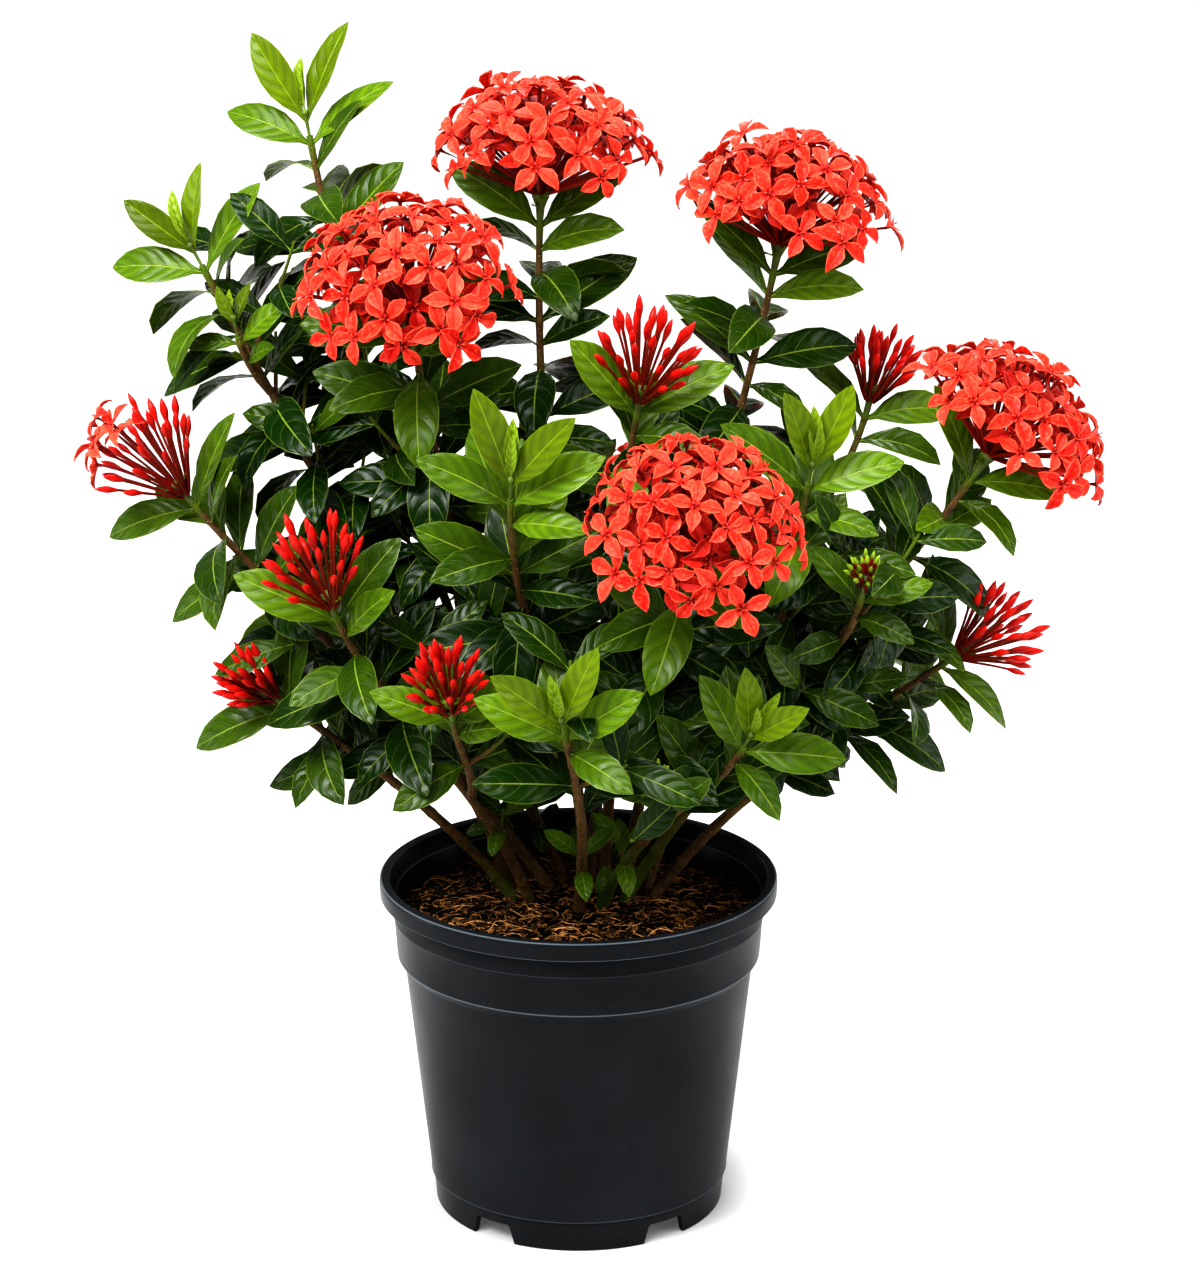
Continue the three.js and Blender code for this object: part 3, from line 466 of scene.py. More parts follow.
def cap_directions(count, spread):
    """Directions spread evenly over a cap of a sphere, as turn and tilt from its axis."""
    lowest = math.cos(math.radians(spread))
    for index in range(count):
        tilt = math.acos(1 - (1 - lowest) * (index + 0.5) / count)
        yield index, index * GOLDEN_ANGLE, tilt


def tilted(head, turn, tilt):
    out = head.side * math.cos(turn) + head.front * math.sin(turn)
    axis = head.axis * math.cos(tilt) + out * math.sin(tilt)
    side = out * math.cos(tilt) - head.axis * math.sin(tilt)
    return Sizes(middle=head.middle, axis=axis, side=side, front=np.cross(axis, side))


# ------------------------------------------------------------------------- modelling and copying

def corners_of(mesh):
    """The corners of a mesh, in metres."""
    corners = np.empty(len(mesh.vertices) * 3)
    mesh.vertices.foreach_get("co", corners)
    return corners.reshape(-1, 3)


def reshape(piece, change):
    """Moves every corner of a piece by a rule on their places, which are in metres."""
    corners = change(corners_of(piece.data))
    piece.data.vertices.foreach_set("co", corners.ravel())
    piece.data.update()
    return piece


def select_only(*pieces):
    """Selects these pieces and no others, and makes the first of them active."""
    bpy.ops.object.select_all(action="DESELECT")
    for piece in pieces:
        piece.select_set(True)
    bpy.context.view_layer.objects.active = pieces[0]


def start_piece(name, add_primitive, **options):
    """Adds a primitive by itself, with nothing else selected."""
    bpy.ops.object.select_all(action="DESELECT")
    add_primitive(**options)
    piece = bpy.context.object
    piece.name = name
    bpy.ops.object.transform_apply(location=True, rotation=True, scale=True)
    return piece


def apply_modifier(piece, kind, **settings):
    select_only(piece)
    modifier = piece.modifiers.new(kind.title(), kind)
    for setting, value in settings.items():
        setattr(modifier, setting, value)
    bpy.ops.object.modifier_apply(modifier=modifier.name)
    return piece


def smooth(piece, angle):
    select_only(piece)
    bpy.ops.object.shade_smooth_by_angle(angle=math.radians(angle))
    return piece


def turned(name, profile, sides):
    """A lathe piece: a circle extruded along a profile of radii and heights in millimetres, and
    closed at both ends."""
    (radius, height), *rest = profile
    piece = start_piece(
        name, bpy.ops.mesh.primitive_circle_add, vertices=sides, radius=radius * MM,
        fill_type="TRIFAN", location=(0, 0, height * MM),
    )
    bpy.ops.object.mode_set(mode="EDIT")
    bpy.ops.mesh.select_all(action="SELECT")
    bpy.ops.mesh.region_to_loop()
    for next_radius, next_height in rest:
        rise = (0, 0, (next_height - height) * MM)
        bpy.ops.mesh.extrude_edges_move(TRANSFORM_OT_translate={"value": rise})
        ratio = next_radius / radius
        if next_radius > 0:
            centre = (0, 0, next_height * MM)
            bpy.ops.transform.resize(value=(ratio, ratio, 1), center_override=centre)
            radius = next_radius
        else:
            bpy.ops.mesh.merge(type="CENTER")
        height = next_height
    if rest[-1][0] > 0:
        bpy.ops.mesh.edge_face_add()
    bpy.ops.mesh.select_all(action="SELECT")
    bpy.ops.mesh.normals_make_consistent(inside=False)
    bpy.ops.object.mode_set(mode="OBJECT")
    return piece


def twin(pattern, name):
    """A piece of the pattern's shape, with a mesh of its own."""
    piece = bpy.data.objects.new(name, pattern.data.copy())
    bpy.context.scene.collection.objects.link(piece)
    return piece


def copy_of(pattern, points, **values):
    """A copy of a pattern whose corners go to points in millimetres from the pot's axis. Each value
    is kept on the copy's corners, for its finish to read."""
    piece = twin(pattern, pattern.name + "_copy")
    piece.data.vertices.foreach_set("co", (points * MM + POT_AXIS).ravel())
    for name, value in values.items():
        layer = piece.data.attributes.new(name, "FLOAT", "POINT")
        layer.data.foreach_set("value", np.broadcast_to(value, len(points)).astype(np.float32))
    piece.data.update()
    return piece


def fuse(name, pieces):
    """Joins pieces to one object."""
    select_only(*pieces)
    if len(pieces) > 1:
        bpy.ops.object.join()
    whole = bpy.context.view_layer.objects.active
    whole.name = name
    whole.data.name = name
    return whole


def clear_away(*patterns):
    """Removes patterns that have been copied."""
    for pattern in patterns:
        bpy.data.objects.remove(pattern)


def finished(piece, slot, *nodes):
    """Hands a piece over: it rides on the part and stands for nodes. The slot is not used."""
    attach(piece, "root")
    if nodes:
        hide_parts(*nodes)


def points_of(pattern):
    """The corners of a pattern, in millimetres."""
    return corners_of(pattern.data) / MM


# ------------------------------------------------------------------------------------- finishes

class Finish:
    """A material in the making, with short ways to add its nodes."""

    def __init__(self, name, **sockets):
        self.material = bpy.data.materials.new(name)
        self.material.use_nodes = True
        self.tree = self.material.node_tree
        self.shader = self.tree.nodes["Principled BSDF"]
        self.feed(self.shader, sockets)

    def feed(self, node, sockets):
        for name, value in sockets.items():
            key = name if isinstance(name, int) else name.replace("_", " ")
            socket = node.inputs[key]
            if isinstance(value, bpy.types.NodeSocket):
                self.tree.links.new(value, socket)
            elif isinstance(value, tuple) and len(value) == 3 and socket.type == "RGBA":
                socket.default_value = (*value, 1)
            else:
                socket.default_value = value

    def node(self, kind, output, settings=None, **sockets):
        node = self.tree.nodes.new(kind)
        for name, value in (settings or {}).items():
            setattr(node, name, value)
        self.feed(node, sockets)
        return node.outputs[output]

    def place(self):
        return self.node("ShaderNodeTexCoord", "Object")

    def sheet_place(self):
        """The two shares of the piece's own UV map: across it and along it."""
        split = self.tree.nodes.new("ShaderNodeSeparateXYZ")
        self.feed(split, {"Vector": self.node("ShaderNodeTexCoord", "UV")})
        return split.outputs["X"], split.outputs["Y"]

    def kept(self, name):
        return self.node("ShaderNodeAttribute", "Fac", {"attribute_name": name})

    def noise(self, scale, detail=3.0):
        return self.node("ShaderNodeTexNoise", 0, Vector=self.place(), Scale=scale, Detail=detail)

    def math(self, operation, first, second=0.0, third=0.0):
        node = self.tree.nodes.new("ShaderNodeMath")
        node.operation = operation
        self.feed(node, {0: first, 1: second, 2: third})
        return node.outputs[0]

    def span(self, value, low, high, to_low=0.0, to_high=1.0):
        """The value from low to high, eased to another range and held at its ends."""
        node = self.tree.nodes.new("ShaderNodeMapRange")
        node.interpolation_type = "SMOOTHSTEP"
        self.feed(node, {0: value, 1: low, 2: high, 3: to_low, 4: to_high})
        return node.outputs[0]

    def blend(self, share, first, second):
        node = self.tree.nodes.new("ShaderNodeMix")
        node.data_type = "RGBA"
        self.feed(node, {0: share, 6: first, 7: second})
        return node.outputs[2]

    def bump(self, height, strength, distance):
        return self.node(
            "ShaderNodeBump", 0, Height=height, Strength=strength, Distance=distance * MM)

    def from_middle(self, across):
        """How far a place is from the middle of its sheet: 0 there and 1 at both edges."""
        return self.math("ABSOLUTE", self.math("MULTIPLY_ADD", across, 2.0, -1.0))

    def wear(self, **sockets):
        self.feed(self.shader, sockets)
        return self.material


def shared_finish(name, make, *options, **sockets):
    """The finish of this name, made when it is first asked for."""
    return bpy.data.materials.get(name) or make(name, *options, **sockets)


# The side veins of a leaf: how many pairs, how they slant back from the midrib, and their curve
VEINS = Sizes(pairs=7.0, slant=-0.15, curve=1.5)


def leaf_finish(name, old, young, vein, gloss, relief=1.0):
    """The face of a leaf: veins that leave the midrib at a slant, painted shade darkening it towards
    each sunken vein, and a thin pale margin that is partly its own edge and partly a painted rim
    highlight.
    """
    finish = Finish(name, Specular_IOR_Level=gloss)
    across, along = finish.sheet_place()
    from_rib = finish.from_middle(across)
    slant = finish.math("MULTIPLY", finish.math("POWER", from_rib, VEINS.curve), VEINS.slant)
    slanted = finish.math("ADD", along, slant)
    to_vein = finish.from_middle(finish.math("FRACT", finish.math("MULTIPLY", slanted, VEINS.pairs)))
    inside = finish.span(from_rib, 0.97, 0.8)
    vein_line = finish.math("MULTIPLY", finish.span(to_vein, 0.86, 0.98), inside)
    rib = finish.span(from_rib, 0.055, 0.02)
    # The thin pale margin: partly the leaf's own edge, partly a painted rim highlight
    margin = finish.span(from_rib, 0.95, 0.99)
    age = finish.kept("age")
    shade = finish.kept("shade")
    mottled = finish.math("MULTIPLY_ADD", finish.noise(70.0, 4.0), 0.5, -0.25)
    share = finish.math("ADD", finish.math("MULTIPLY_ADD", shade, 0.5, age), mottled)
    ground = finish.blend(finish.span(share, 0.1, 1.15), young, old)
    ground = finish.blend(finish.span(age, -0.05, -0.3, 0.0, 0.7), ground, vein)
    # Darker towards each sunken vein: painted shade in the grooves between the swells
    deeper = finish.blend(finish.span(to_vein, 0.2, 0.95, 0.0, 0.35), ground, old)
    with_veins = finish.blend(finish.math("MULTIPLY", vein_line, 0.1), deeper, vein)
    with_rib = finish.blend(finish.math("MULTIPLY", rib, 0.55), with_veins, vein)
    colour = finish.blend(finish.math("MULTIPLY", margin, 0.35), with_rib, vein)
    roughness = finish.math("MULTIPLY_ADD", finish.noise(220.0, 2.0), 0.14, 0.2)
    swell = finish.math("POWER", finish.math("SUBTRACT", 1.0, to_vein), 0.6)
    height = finish.math("MULTIPLY_ADD", swell, inside, finish.math("MULTIPLY", rib, -0.9))
    height = finish.math("MULTIPLY_ADD", finish.noise(900.0, 2.0), 0.12, height)
    return finish.wear(
        Base_Color=colour, Roughness=roughness, Normal=finish.bump(height, 0.6 * relief, 0.6),
    )


def petal_finish(colour, lighter, throat):
    """Petals: deep red at the throat, faint streaks along them, each floret a little different, with
    painted shade along the middle crease, painted highlights along the edges and painted shade on sunk
    florets.
    """
    finish = Finish("ixora_petal", Sheen_Weight=0.03, Sheen_Roughness=0.4, Specular_IOR_Level=0.12)
    across, along = finish.sheet_place()
    from_middle = finish.from_middle(across)
    deeper = tuple(value * 0.6 for value in colour)
    ground = finish.blend(finish.math("MULTIPLY", finish.kept("shade"), 0.35), colour, lighter)
    streak = finish.node(
        "ShaderNodeTexWave", 1, Vector=finish.place(), Scale=350.0, Distortion=6.0, Detail=2.0)
    ground = finish.blend(finish.math("MULTIPLY", streak, 0.35), ground, deeper)
    speckles = finish.span(finish.noise(520.0, 3.0), 0.5, 0.68)
    ground = finish.blend(finish.math("MULTIPLY", speckles, 0.45), ground, lighter)
    # Darker along the middle: painted shade in the petal's crease
    middle = finish.blend(finish.span(from_middle, 0.12, 0.0, 0.0, 0.5), ground, deeper)
    # Lighter towards the edges: painted highlight
    painted_rim_highlight = finish.blend(finish.span(from_middle, 0.72, 0.98, 0.0, 0.55), middle, lighter)
    colour = finish.blend(finish.span(along, 0.22, 0.02), painted_rim_highlight, throat)
    # Sunk florets turn towards the throat's deep red: painted shade on the inner layer
    colour = finish.blend(finish.kept("sunk"), colour, throat)
    fold = finish.span(from_middle, 0.0, 0.14)
    crease = finish.math("ADD", fold, finish.math("MULTIPLY", streak, 0.4))
    return finish.wear(Base_Color=colour, Roughness=0.42, Normal=finish.bump(crease, 0.5, 0.3))


def plain_finish(name, colour, other, scale, roughness, strength, distance, **sockets):
    """A mottled finish of two colours with a fine uneven surface, lighter or darker by piece."""
    finish = Finish(name, **sockets)
    mottled = finish.span(finish.noise(scale, 4.0), 0.35, 0.65)
    by_piece = finish.math("MULTIPLY", finish.kept("shade"), 0.4)
    share = finish.math("MULTIPLY_ADD", mottled, 0.6, by_piece)
    return finish.wear(
        Base_Color=finish.blend(share, colour, other), Roughness=roughness,
        Normal=finish.bump(finish.noise(4 * scale, 3.0), strength, distance),
    )


def bark_finish(bark, green):
    """Brown bark with pale lenticels, still green where the shoot is young."""
    finish = Finish("ixora_bark", Specular_IOR_Level=0.1)
    grain = finish.noise(210.0, 5.0)
    ground = finish.blend(finish.span(grain, 0.3, 0.7), tuple(v * 0.55 for v in bark), bark)
    specks = finish.node("ShaderNodeTexVoronoi", 0, Vector=finish.place(), Scale=420.0)
    pale = tuple(min(1, v * 2.4 + 0.03) for v in bark)
    ground = finish.blend(finish.span(specks, 0.26, 0.12, 0.0, 0.7), ground, pale)
    youth = finish.span(finish.math("MULTIPLY_ADD", grain, 0.3, finish.kept("age")), 0.75, 1.1)
    height = finish.math("SUBTRACT", grain, finish.span(specks, 0.3, 0.1))
    return finish.wear(
        Base_Color=finish.blend(youth, ground, green), Roughness=0.62,
        Normal=finish.bump(height, 0.7, 0.8),
    )


# Levels of the pale lines painted along the pot's edges as highlights, the half width of each and how
# light it is
PAINTED_EDGE_HIGHLIGHTS = [
    (POT.height - 0.7, 0.5, 0.4), (POT.height - POT.lip_height + 0.2, 0.6, 0.5),
    (POT.line_height, 0.4, 0.1), (POT.band_foot_height + 0.1, 0.7, 0.4),
    (POT.seam_height + 0.5, 0.5, 0.15),
]
EDGE_HIGHLIGHT_COLOUR = linear(126, 136, 144)


def plastic_finish(colour, roughness):
    """Moulded black plastic: a satin skin with fine grain, faint flow marks, a few pale specks and pale
    lines painted along its edges as highlights.
    """
    finish = Finish("nursery_plastic", Specular_IOR_Level=0.07)
    cloud = finish.noise(14.0, 5.0)
    lighter = tuple(value * 1.5 + 0.001 for value in colour)
    ground = finish.blend(finish.span(cloud, 0.3, 0.75), colour, lighter)
    specks = finish.node("ShaderNodeTexVoronoi", 0, Vector=finish.place(), Scale=230.0)
    sparse = finish.span(finish.noise(90.0, 1.0), 0.56, 0.6)
    dust = finish.math("MULTIPLY", finish.span(specks, 0.07, 0.04), sparse)
    ground = finish.blend(finish.math("MULTIPLY", dust, 0.2), ground, linear(150, 152, 150))
    height = finish.node("ShaderNodeSeparateXYZ", 2, Vector=finish.place())
    # Painted highlights: pale lines round the lip, the groove, the foot of the band and the seam
    for level, width, strength in PAINTED_EDGE_HIGHLIGHTS:
        away = finish.math("ABSOLUTE", finish.math("SUBTRACT", height, level * MM))
        line = finish.span(away, width * MM, 0.2 * width * MM, 0.0, strength)
        ground = finish.blend(line, ground, EDGE_HIGHLIGHT_COLOUR)
    rough = finish.math("MULTIPLY_ADD", finish.noise(40.0, 4.0), 0.16, roughness - 0.08)
    grain = finish.noise(1600.0, 2.0)
    return finish.wear(Base_Color=ground, Roughness=rough, Normal=finish.bump(grain, 0.22, 0.06))


# ------------------------------------------------------------------------------------- settings

class PotSettings(bpy.types.PropertyGroup):
    sides: bpy.props.IntProperty(
        name="Facets", description="Facets round the pot", default=176, min=24, max=360)
    colour: bpy.props.FloatVectorProperty(
        name="Plastic", description="Colour of the plastic", subtype="COLOR", min=0, max=1,
        default=linear(23, 25, 27))
    roughness: bpy.props.FloatProperty(
        name="Roughness", description="How dull the plastic is", subtype="FACTOR", min=0, max=1,
        default=0.3)


class SoilSettings(bpy.types.PropertyGroup):
    colour: bpy.props.FloatVectorProperty(
        name="Soil", description="Colour of the soil", subtype="COLOR", min=0, max=1,
        default=linear(6, 4, 2))
    fibre_colour: bpy.props.FloatVectorProperty(
        name="Fibre", description="Colour of the coir and bark", subtype="COLOR", min=0, max=1,
        default=linear(214, 154, 92))
    fibres: bpy.props.IntProperty(
        name="Fibres", description="Curls of coir on the soil", default=1500, min=0, max=4000)
    chips: bpy.props.IntProperty(
        name="Chips", description="Chips of bark on the soil", default=300, min=0, max=2000)


class FoliageSettings(bpy.types.PropertyGroup):
    old_colour: bpy.props.FloatVectorProperty(
        name="Old Leaf", description="Upper face of a grown leaf", subtype="COLOR", min=0, max=1,
        default=linear(14, 39, 2))
    new_colour: bpy.props.FloatVectorProperty(
        name="New Leaf", description="Upper face of a leaf near a shoot's end", subtype="COLOR",
        min=0, max=1, default=linear(86, 113, 15))
    vein_colour: bpy.props.FloatVectorProperty(
        name="Vein", description="Midrib, veins and margin", subtype="COLOR", min=0, max=1,
        default=linear(142, 160, 62))
    back_colour: bpy.props.FloatVectorProperty(
        name="Underside", description="Underside of a leaf", subtype="COLOR", min=0, max=1,
        default=linear(70, 104, 26))
    fresh_colour: bpy.props.FloatVectorProperty(
        name="Fresh Leaf", description="Leaves of a fresh shoot", subtype="COLOR", min=0, max=1,
        default=linear(98, 120, 8))
    bark_colour: bpy.props.FloatVectorProperty(
        name="Bark", description="Woody stems", subtype="COLOR", min=0, max=1,
        default=linear(102, 78, 46))
    leaf_thickness: bpy.props.FloatProperty(
        name="Thickness", description="Thickness of a leaf", subtype="DISTANCE", unit="LENGTH",
        default=0.5 * MM, min=0.1 * MM, max=2 * MM)


class FlowerSettings(bpy.types.PropertyGroup):
    florets: bpy.props.IntProperty(
        name="Florets", description="Florets of a flower head", default=42, min=8, max=120)
    buds: bpy.props.IntProperty(
        name="Buds", description="Buds of a bud head", default=34, min=5, max=60)
    petal_length: bpy.props.FloatProperty(
        name="Petal Length", description="Length of a petal", subtype="DISTANCE", unit="LENGTH",
        default=15.4 * MM, min=5 * MM, max=25 * MM)
    petal_colour: bpy.props.FloatVectorProperty(
        name="Petal", description="Colour of the petals", subtype="COLOR", min=0, max=1,
        default=linear(200, 26, 11))
    # The petals' light flecks, and the painted highlights along their edges
    highlight_and_fleck_colour: bpy.props.FloatVectorProperty(
        name="Petal Rim", description="Light edges and flecks of the petals", subtype="COLOR",
        min=0, max=1, default=linear(250, 108, 82))
    throat_colour: bpy.props.FloatVectorProperty(
        name="Throat", description="Colour of a floret's middle", subtype="COLOR", min=0, max=1,
        default=linear(144, 12, 7))
    bud_colour: bpy.props.FloatVectorProperty(
        name="Bud", description="Colour of the closed buds", subtype="COLOR", min=0, max=1,
        default=linear(148, 13, 7))


class StageSettings(bpy.types.PropertyGroup):
    floor_colour: bpy.props.FloatVectorProperty(
        name="Floor", description="Colour of the floor", subtype="COLOR", min=0, max=1,
        default=(0.4, 0.4, 0.4))
    floor_glow: bpy.props.FloatProperty(
        name="Glow", description="Light that shines through the floor", default=0.42, min=0)
    daylight: bpy.props.FloatProperty(
        name="Daylight", description="Strength of the light from all round", default=0.3, min=0)
    sun: bpy.props.FloatProperty(
        name="Key", description="Strength of the key light", default=2.6, min=0)


# ---------------------------------------------------------------------------------------- the pot

class IXORA_OT_pot(bpy.types.Operator):
    """Builds the moulded nursery pot with its rolled lip, band, seam and notched foot"""
    bl_idname = "ixora.pot"
    bl_label = "Nursery Pot"

    def execute(self, context):
        settings = context.scene.ixora_pot
        pot = turned("nursery_pot", pot_profile(), settings.sides)
        for index in range(NOTCH.count):
            turn = math.radians(NOTCH.first_from_front + 360 / NOTCH.count * index)
            cut(pot, notch_cutter(turn))
            cut(pot, drain_cutter(turn))
        reshape(pot, lambda corners: corners + POT_AXIS)
        smooth(pot, 32)
        pot.data.materials.append(plastic_finish(tuple(settings.colour), settings.roughness))
        finished(pot, "pot", "pot")
        return {"FINISHED"}


def pot_profile():
    lip_foot = POT.height - POT.lip_height
    floor_top = POT.floor_height + POT.floor_thickness
    inner_foot = POT.foot_radius - POT.foot_width
    line = POT.line_height
    up_the_band = (line - POT.band_foot_height) / (lip_foot - POT.band_foot_height)
    at_line = POT.band_foot_radius + up_the_band * (POT.band_top_radius - POT.band_foot_radius)
    outside = [
        (inner_foot + 0.5, POT.floor_height), (inner_foot + 0.2, 0.6), (inner_foot + 0.8, 0),
        (POT.foot_radius - 0.6, 0), (POT.foot_radius, 0.6),
        (POT.body_foot_radius - 1, POT.seam_height - 0.6), (POT.body_foot_radius, POT.seam_height),
        (POT.body_foot_radius + 0.35, POT.seam_height + 0.5),
        (POT.body_foot_radius + 0.1, POT.seam_height + 1.2),
        (POT.body_top_radius, POT.body_top_height),
        (POT.body_top_radius + 0.5, POT.body_top_height + 0.8),
        (POT.band_foot_radius - 0.6, POT.band_foot_height - 0.9),
        (POT.band_foot_radius, POT.band_foot_height),
        (POT.band_foot_radius + 0.1, POT.band_foot_height + 0.8),
        (at_line, line - 0.5), (at_line + 0.35, line), (at_line + 0.1, line + 0.5),
        (POT.band_top_radius, lip_foot - 1.2), (POT.band_top_radius + 0.6, lip_foot - 0.4),
        (POT.rim_radius - 1.2, lip_foot - 0.1), (POT.rim_radius - 0.3, lip_foot + 0.7),
    ]
    lip = [
        (POT.rim_radius, POT.height - 3.4), (POT.rim_radius - 0.15, POT.height - 1.7),
        (POT.rim_radius - 0.7, POT.height - 0.6), (POT.rim_radius - 1.7, POT.height),
        (POT.rim_radius - POT.lip_width + 0.6, POT.height - 0.1),
        (POT.rim_radius - POT.lip_width - 0.2, POT.height - 0.9),
    ]
    inside = [
        (POT.band_top_radius - POT.wall + 0.3, POT.height - POT.lip_height),
        (POT.band_top_radius - POT.wall - 0.3, POT.height - POT.lip_height - 1),
        (POT.band_foot_radius - POT.wall, POT.band_foot_height),
        (POT.body_top_radius - POT.wall, POT.body_top_height),
        (POT.body_foot_radius - POT.wall - 0.5, floor_top), (0, floor_top),
    ]
    return outside + lip + inside


def cut(piece, cutter):
    """Takes the cutter's shape out of a piece."""
    apply_modifier(piece, "BOOLEAN", operation="DIFFERENCE", object=cutter, solver="EXACT")
    bpy.data.objects.remove(cutter)


def notch_cutter(turn):
    """A block that narrows upwards, set through the foot ring."""
    cutter = start_piece("notch", bpy.ops.mesh.primitive_cube_add, size=1)
    narrowing = NOTCH.top_width / NOTCH.width

    def shape(corners):
        across = corners[:, 0] * np.where(corners[:, 2] > 0, narrowing, 1.0) * NOTCH.width
        outwards = corners[:, 1] * 20 - NOTCH.middle
        upwards = np.where(corners[:, 2] > 0, NOTCH.height, -1.0)
        return turned_about_axis(np.column_stack([across, outwards, upwards]), turn) * MM

    reshape(cutter, shape)
    return apply_modifier(cutter, "BEVEL", width=1.2 * MM, segments=2)


def drain_cutter(turn):
    cutter = start_piece(
        "drain", bpy.ops.mesh.primitive_cylinder_add, vertices=32, radius=DRAIN_HOLE.radius * MM,
        depth=4 * POT.floor_thickness * MM)
    place = np.array([0, -DRAIN_HOLE.from_axis, POT.floor_height + 1]) * MM
    return reshape(cutter, lambda corners: turned_about_axis(corners + place, turn))


def turned_about_axis(points, turn):
    cosine, sine = math.cos(turn), math.sin(turn)
    return np.column_stack([
        points[:, 0] * cosine - points[:, 1] * sine, points[:, 0] * sine + points[:, 1] * cosine,
        points[:, 2]])


# --------------------------------------------------------------------------------------- the soil

def soil_height(x, y):
    """Height of the uneven soil at a place, in millimetres."""
    reach = math.hypot(x, y) / SOIL.mound_radius
    clumps = noise.fractal(Vector((x / SOIL.clump_size, y / SOIL.clump_size, 3.1)), 0.9, 2.0, 4)
    swell = noise.noise(Vector((x / SOIL.swell_size, y / SOIL.swell_size, 7.7)))
    even = SOIL.level + SOIL.mound * (1 - reach ** 4)
    return even + SOIL.clump_height * clumps + SOIL.swell_height * swell - SOIL.settled


class IXORA_OT_soil(bpy.types.Operator):
    """Fills the pot with dark soil and lays coir and bark on it"""
    bl_idname = "ixora.soil"
    bl_label = "Potting Soil"

    def execute(self, context):
        settings = context.scene.ixora_soil
        finished(self.ground(tuple(settings.colour)), "soil", "soil")
        finished(self.litter(settings), "soil")
        return {"FINISHED"}

    def ground(self, colour):
        floor = POT.floor_height + POT.floor_thickness + SOIL.gap
        wall = POT.wall + SOIL.gap
        edge = POT.band_foot_radius + SOIL.widening - wall
        rings = [(edge * share, SOIL.level) for share in np.linspace(1, 0, SOIL.rings)]
        profile = [
            (POT.body_foot_radius - wall - 0.5, floor),
            (POT.body_top_radius - wall, POT.body_top_height),
            (POT.band_foot_radius - wall, POT.band_foot_height), *rings]
        soil = turned("potting_soil", profile, SOIL.sides)

        def heap(corners):
            points = corners / MM
            top = points[:, 2] > SOIL.level - 1
            points[top, 2] = [soil_height(x, y) for x, y in points[top, :2]]
            return points * MM + POT_AXIS

        reshape(soil, heap)
        smooth(soil, 60)
        soil.data.materials.append(plain_finish(
            "soil_crumb", colour, tuple(v * 2.2 + 0.002 for v in colour), 240.0, 0.95, 0.9, 1.6,
            Specular_IOR_Level=0.08))
        return soil

    def litter(self, settings):
        rng = np.random.default_rng(SEEDS.litter)
        thinning = [
            (0.2, 0), (0.3, 1.4), (0.3, 3), (0.3, 4.5), (0.3, 6), (0.28, 7.4), (0.24, 8.7),
            (0.14, COIR.rod_length)]
        curl = turned("coir", thinning, 3)
        chip = start_piece("bark", bpy.ops.mesh.primitive_cube_add, size=1)
        apply_modifier(chip, "BEVEL", width=0.16, segments=1)
        fibre = tuple(settings.fibre_colour)
        finish = plain_finish(
            "coir_and_bark", tuple(v * 0.05 for v in fibre), tuple(min(1, v * 1.1) for v in fibre),
            300.0, 0.75, 0.6, 0.5, Specular_IOR_Level=0.1)
        for pattern in (curl, chip):
            pattern.data.materials.append(finish)
        rods, blocks = points_of(curl), corners_of(chip.data)
        # Most curls are dark and a few are pale, and all the chips are dark
        copies = [copy_of(curl, self.curled(rods, rng), shade=2.6 * rng.random() ** 4 - 0.8)
                  for _ in range(settings.fibres)]
        copies += [copy_of(chip, self.chipped(blocks, rng), shade=rng.random() * 0.5 - 0.7)
                   for _ in range(settings.chips)]
        clear_away(curl, chip)
        return fuse("coir_and_bark", copies)

    def spot(self, rng, margin):
        """A place on the soil, some millimetres or more from the pot's wall."""
        reach = (SOIL.litter_radius - margin) * math.sqrt(rng.random())
        turn = rng.uniform(0, 2 * math.pi)
        x, y = reach * math.cos(turn), reach * math.sin(turn)
        return np.array([x, y, soil_height(x, y)])

    def curled(self, rods, rng):
        """A straight rod bent to a curl that lies on the soil or arches over it."""
        length = rng.uniform(*COIR.lengths)
        bend = rng.uniform(-COIR.bend, COIR.bend)
        wave, start = rng.uniform(0, COIR.wave_height), rng.uniform(0, 2 * math.pi)
        heading = rng.uniform(0, 2 * math.pi)
        tip_up = rng.uniform(*COIR.rises)
        stout = rng.uniform(*COIR.stoutness)
        share = rods[:, 2] / COIR.rod_length
        angle = heading + bend * share
        wavy = wave * np.sin(start + COIR.waves * share)
        x = length * (np.sin(angle) - math.sin(heading)) / (bend or 1)
        y = -length * (np.cos(angle) - math.cos(heading)) / (bend or 1)
        flat = np.column_stack([
            x - np.sin(angle) * (rods[:, 0] * stout + wavy),
            y + np.cos(angle) * (rods[:, 0] * stout + wavy),
            rods[:, 1] * stout + length * tip_up * np.sin(share * math.pi * 0.8)])
        spot = self.spot(rng, COIR.margin)
        reach = np.hypot(*(flat + spot)[:, :2].T)
        pulled = np.minimum(1, SOIL.litter_edge / np.maximum(reach, 1))
        moved = flat + spot + (0, 0, COIR.lift)
        moved[:, :2] *= pulled[:, None]
        return moved

    def chipped(self, blocks, rng):
        """A block made an uneven chip that lies aslant on the soil."""
        sizes = np.array([rng.uniform(*drawn) for drawn in (CHIP.lengths, CHIP.widths, CHIP.heights)])
        turn = rng.uniform(0, 2 * math.pi)
        lean, roll = rng.uniform(-CHIP.slope, CHIP.slope, 2)
        points = blocks * sizes * (1 + CHIP.roughness * np.sin(blocks[:, [1, 2, 0]] * 9 + turn))
        points[:, 2] += points[:, 0] * lean + points[:, 1] * roll
        return turned_about_axis(points, turn) + self.spot(rng, CHIP.margin) + (0, 0, CHIP.lift)


# ------------------------------------------------------------------------------- stems and leaves

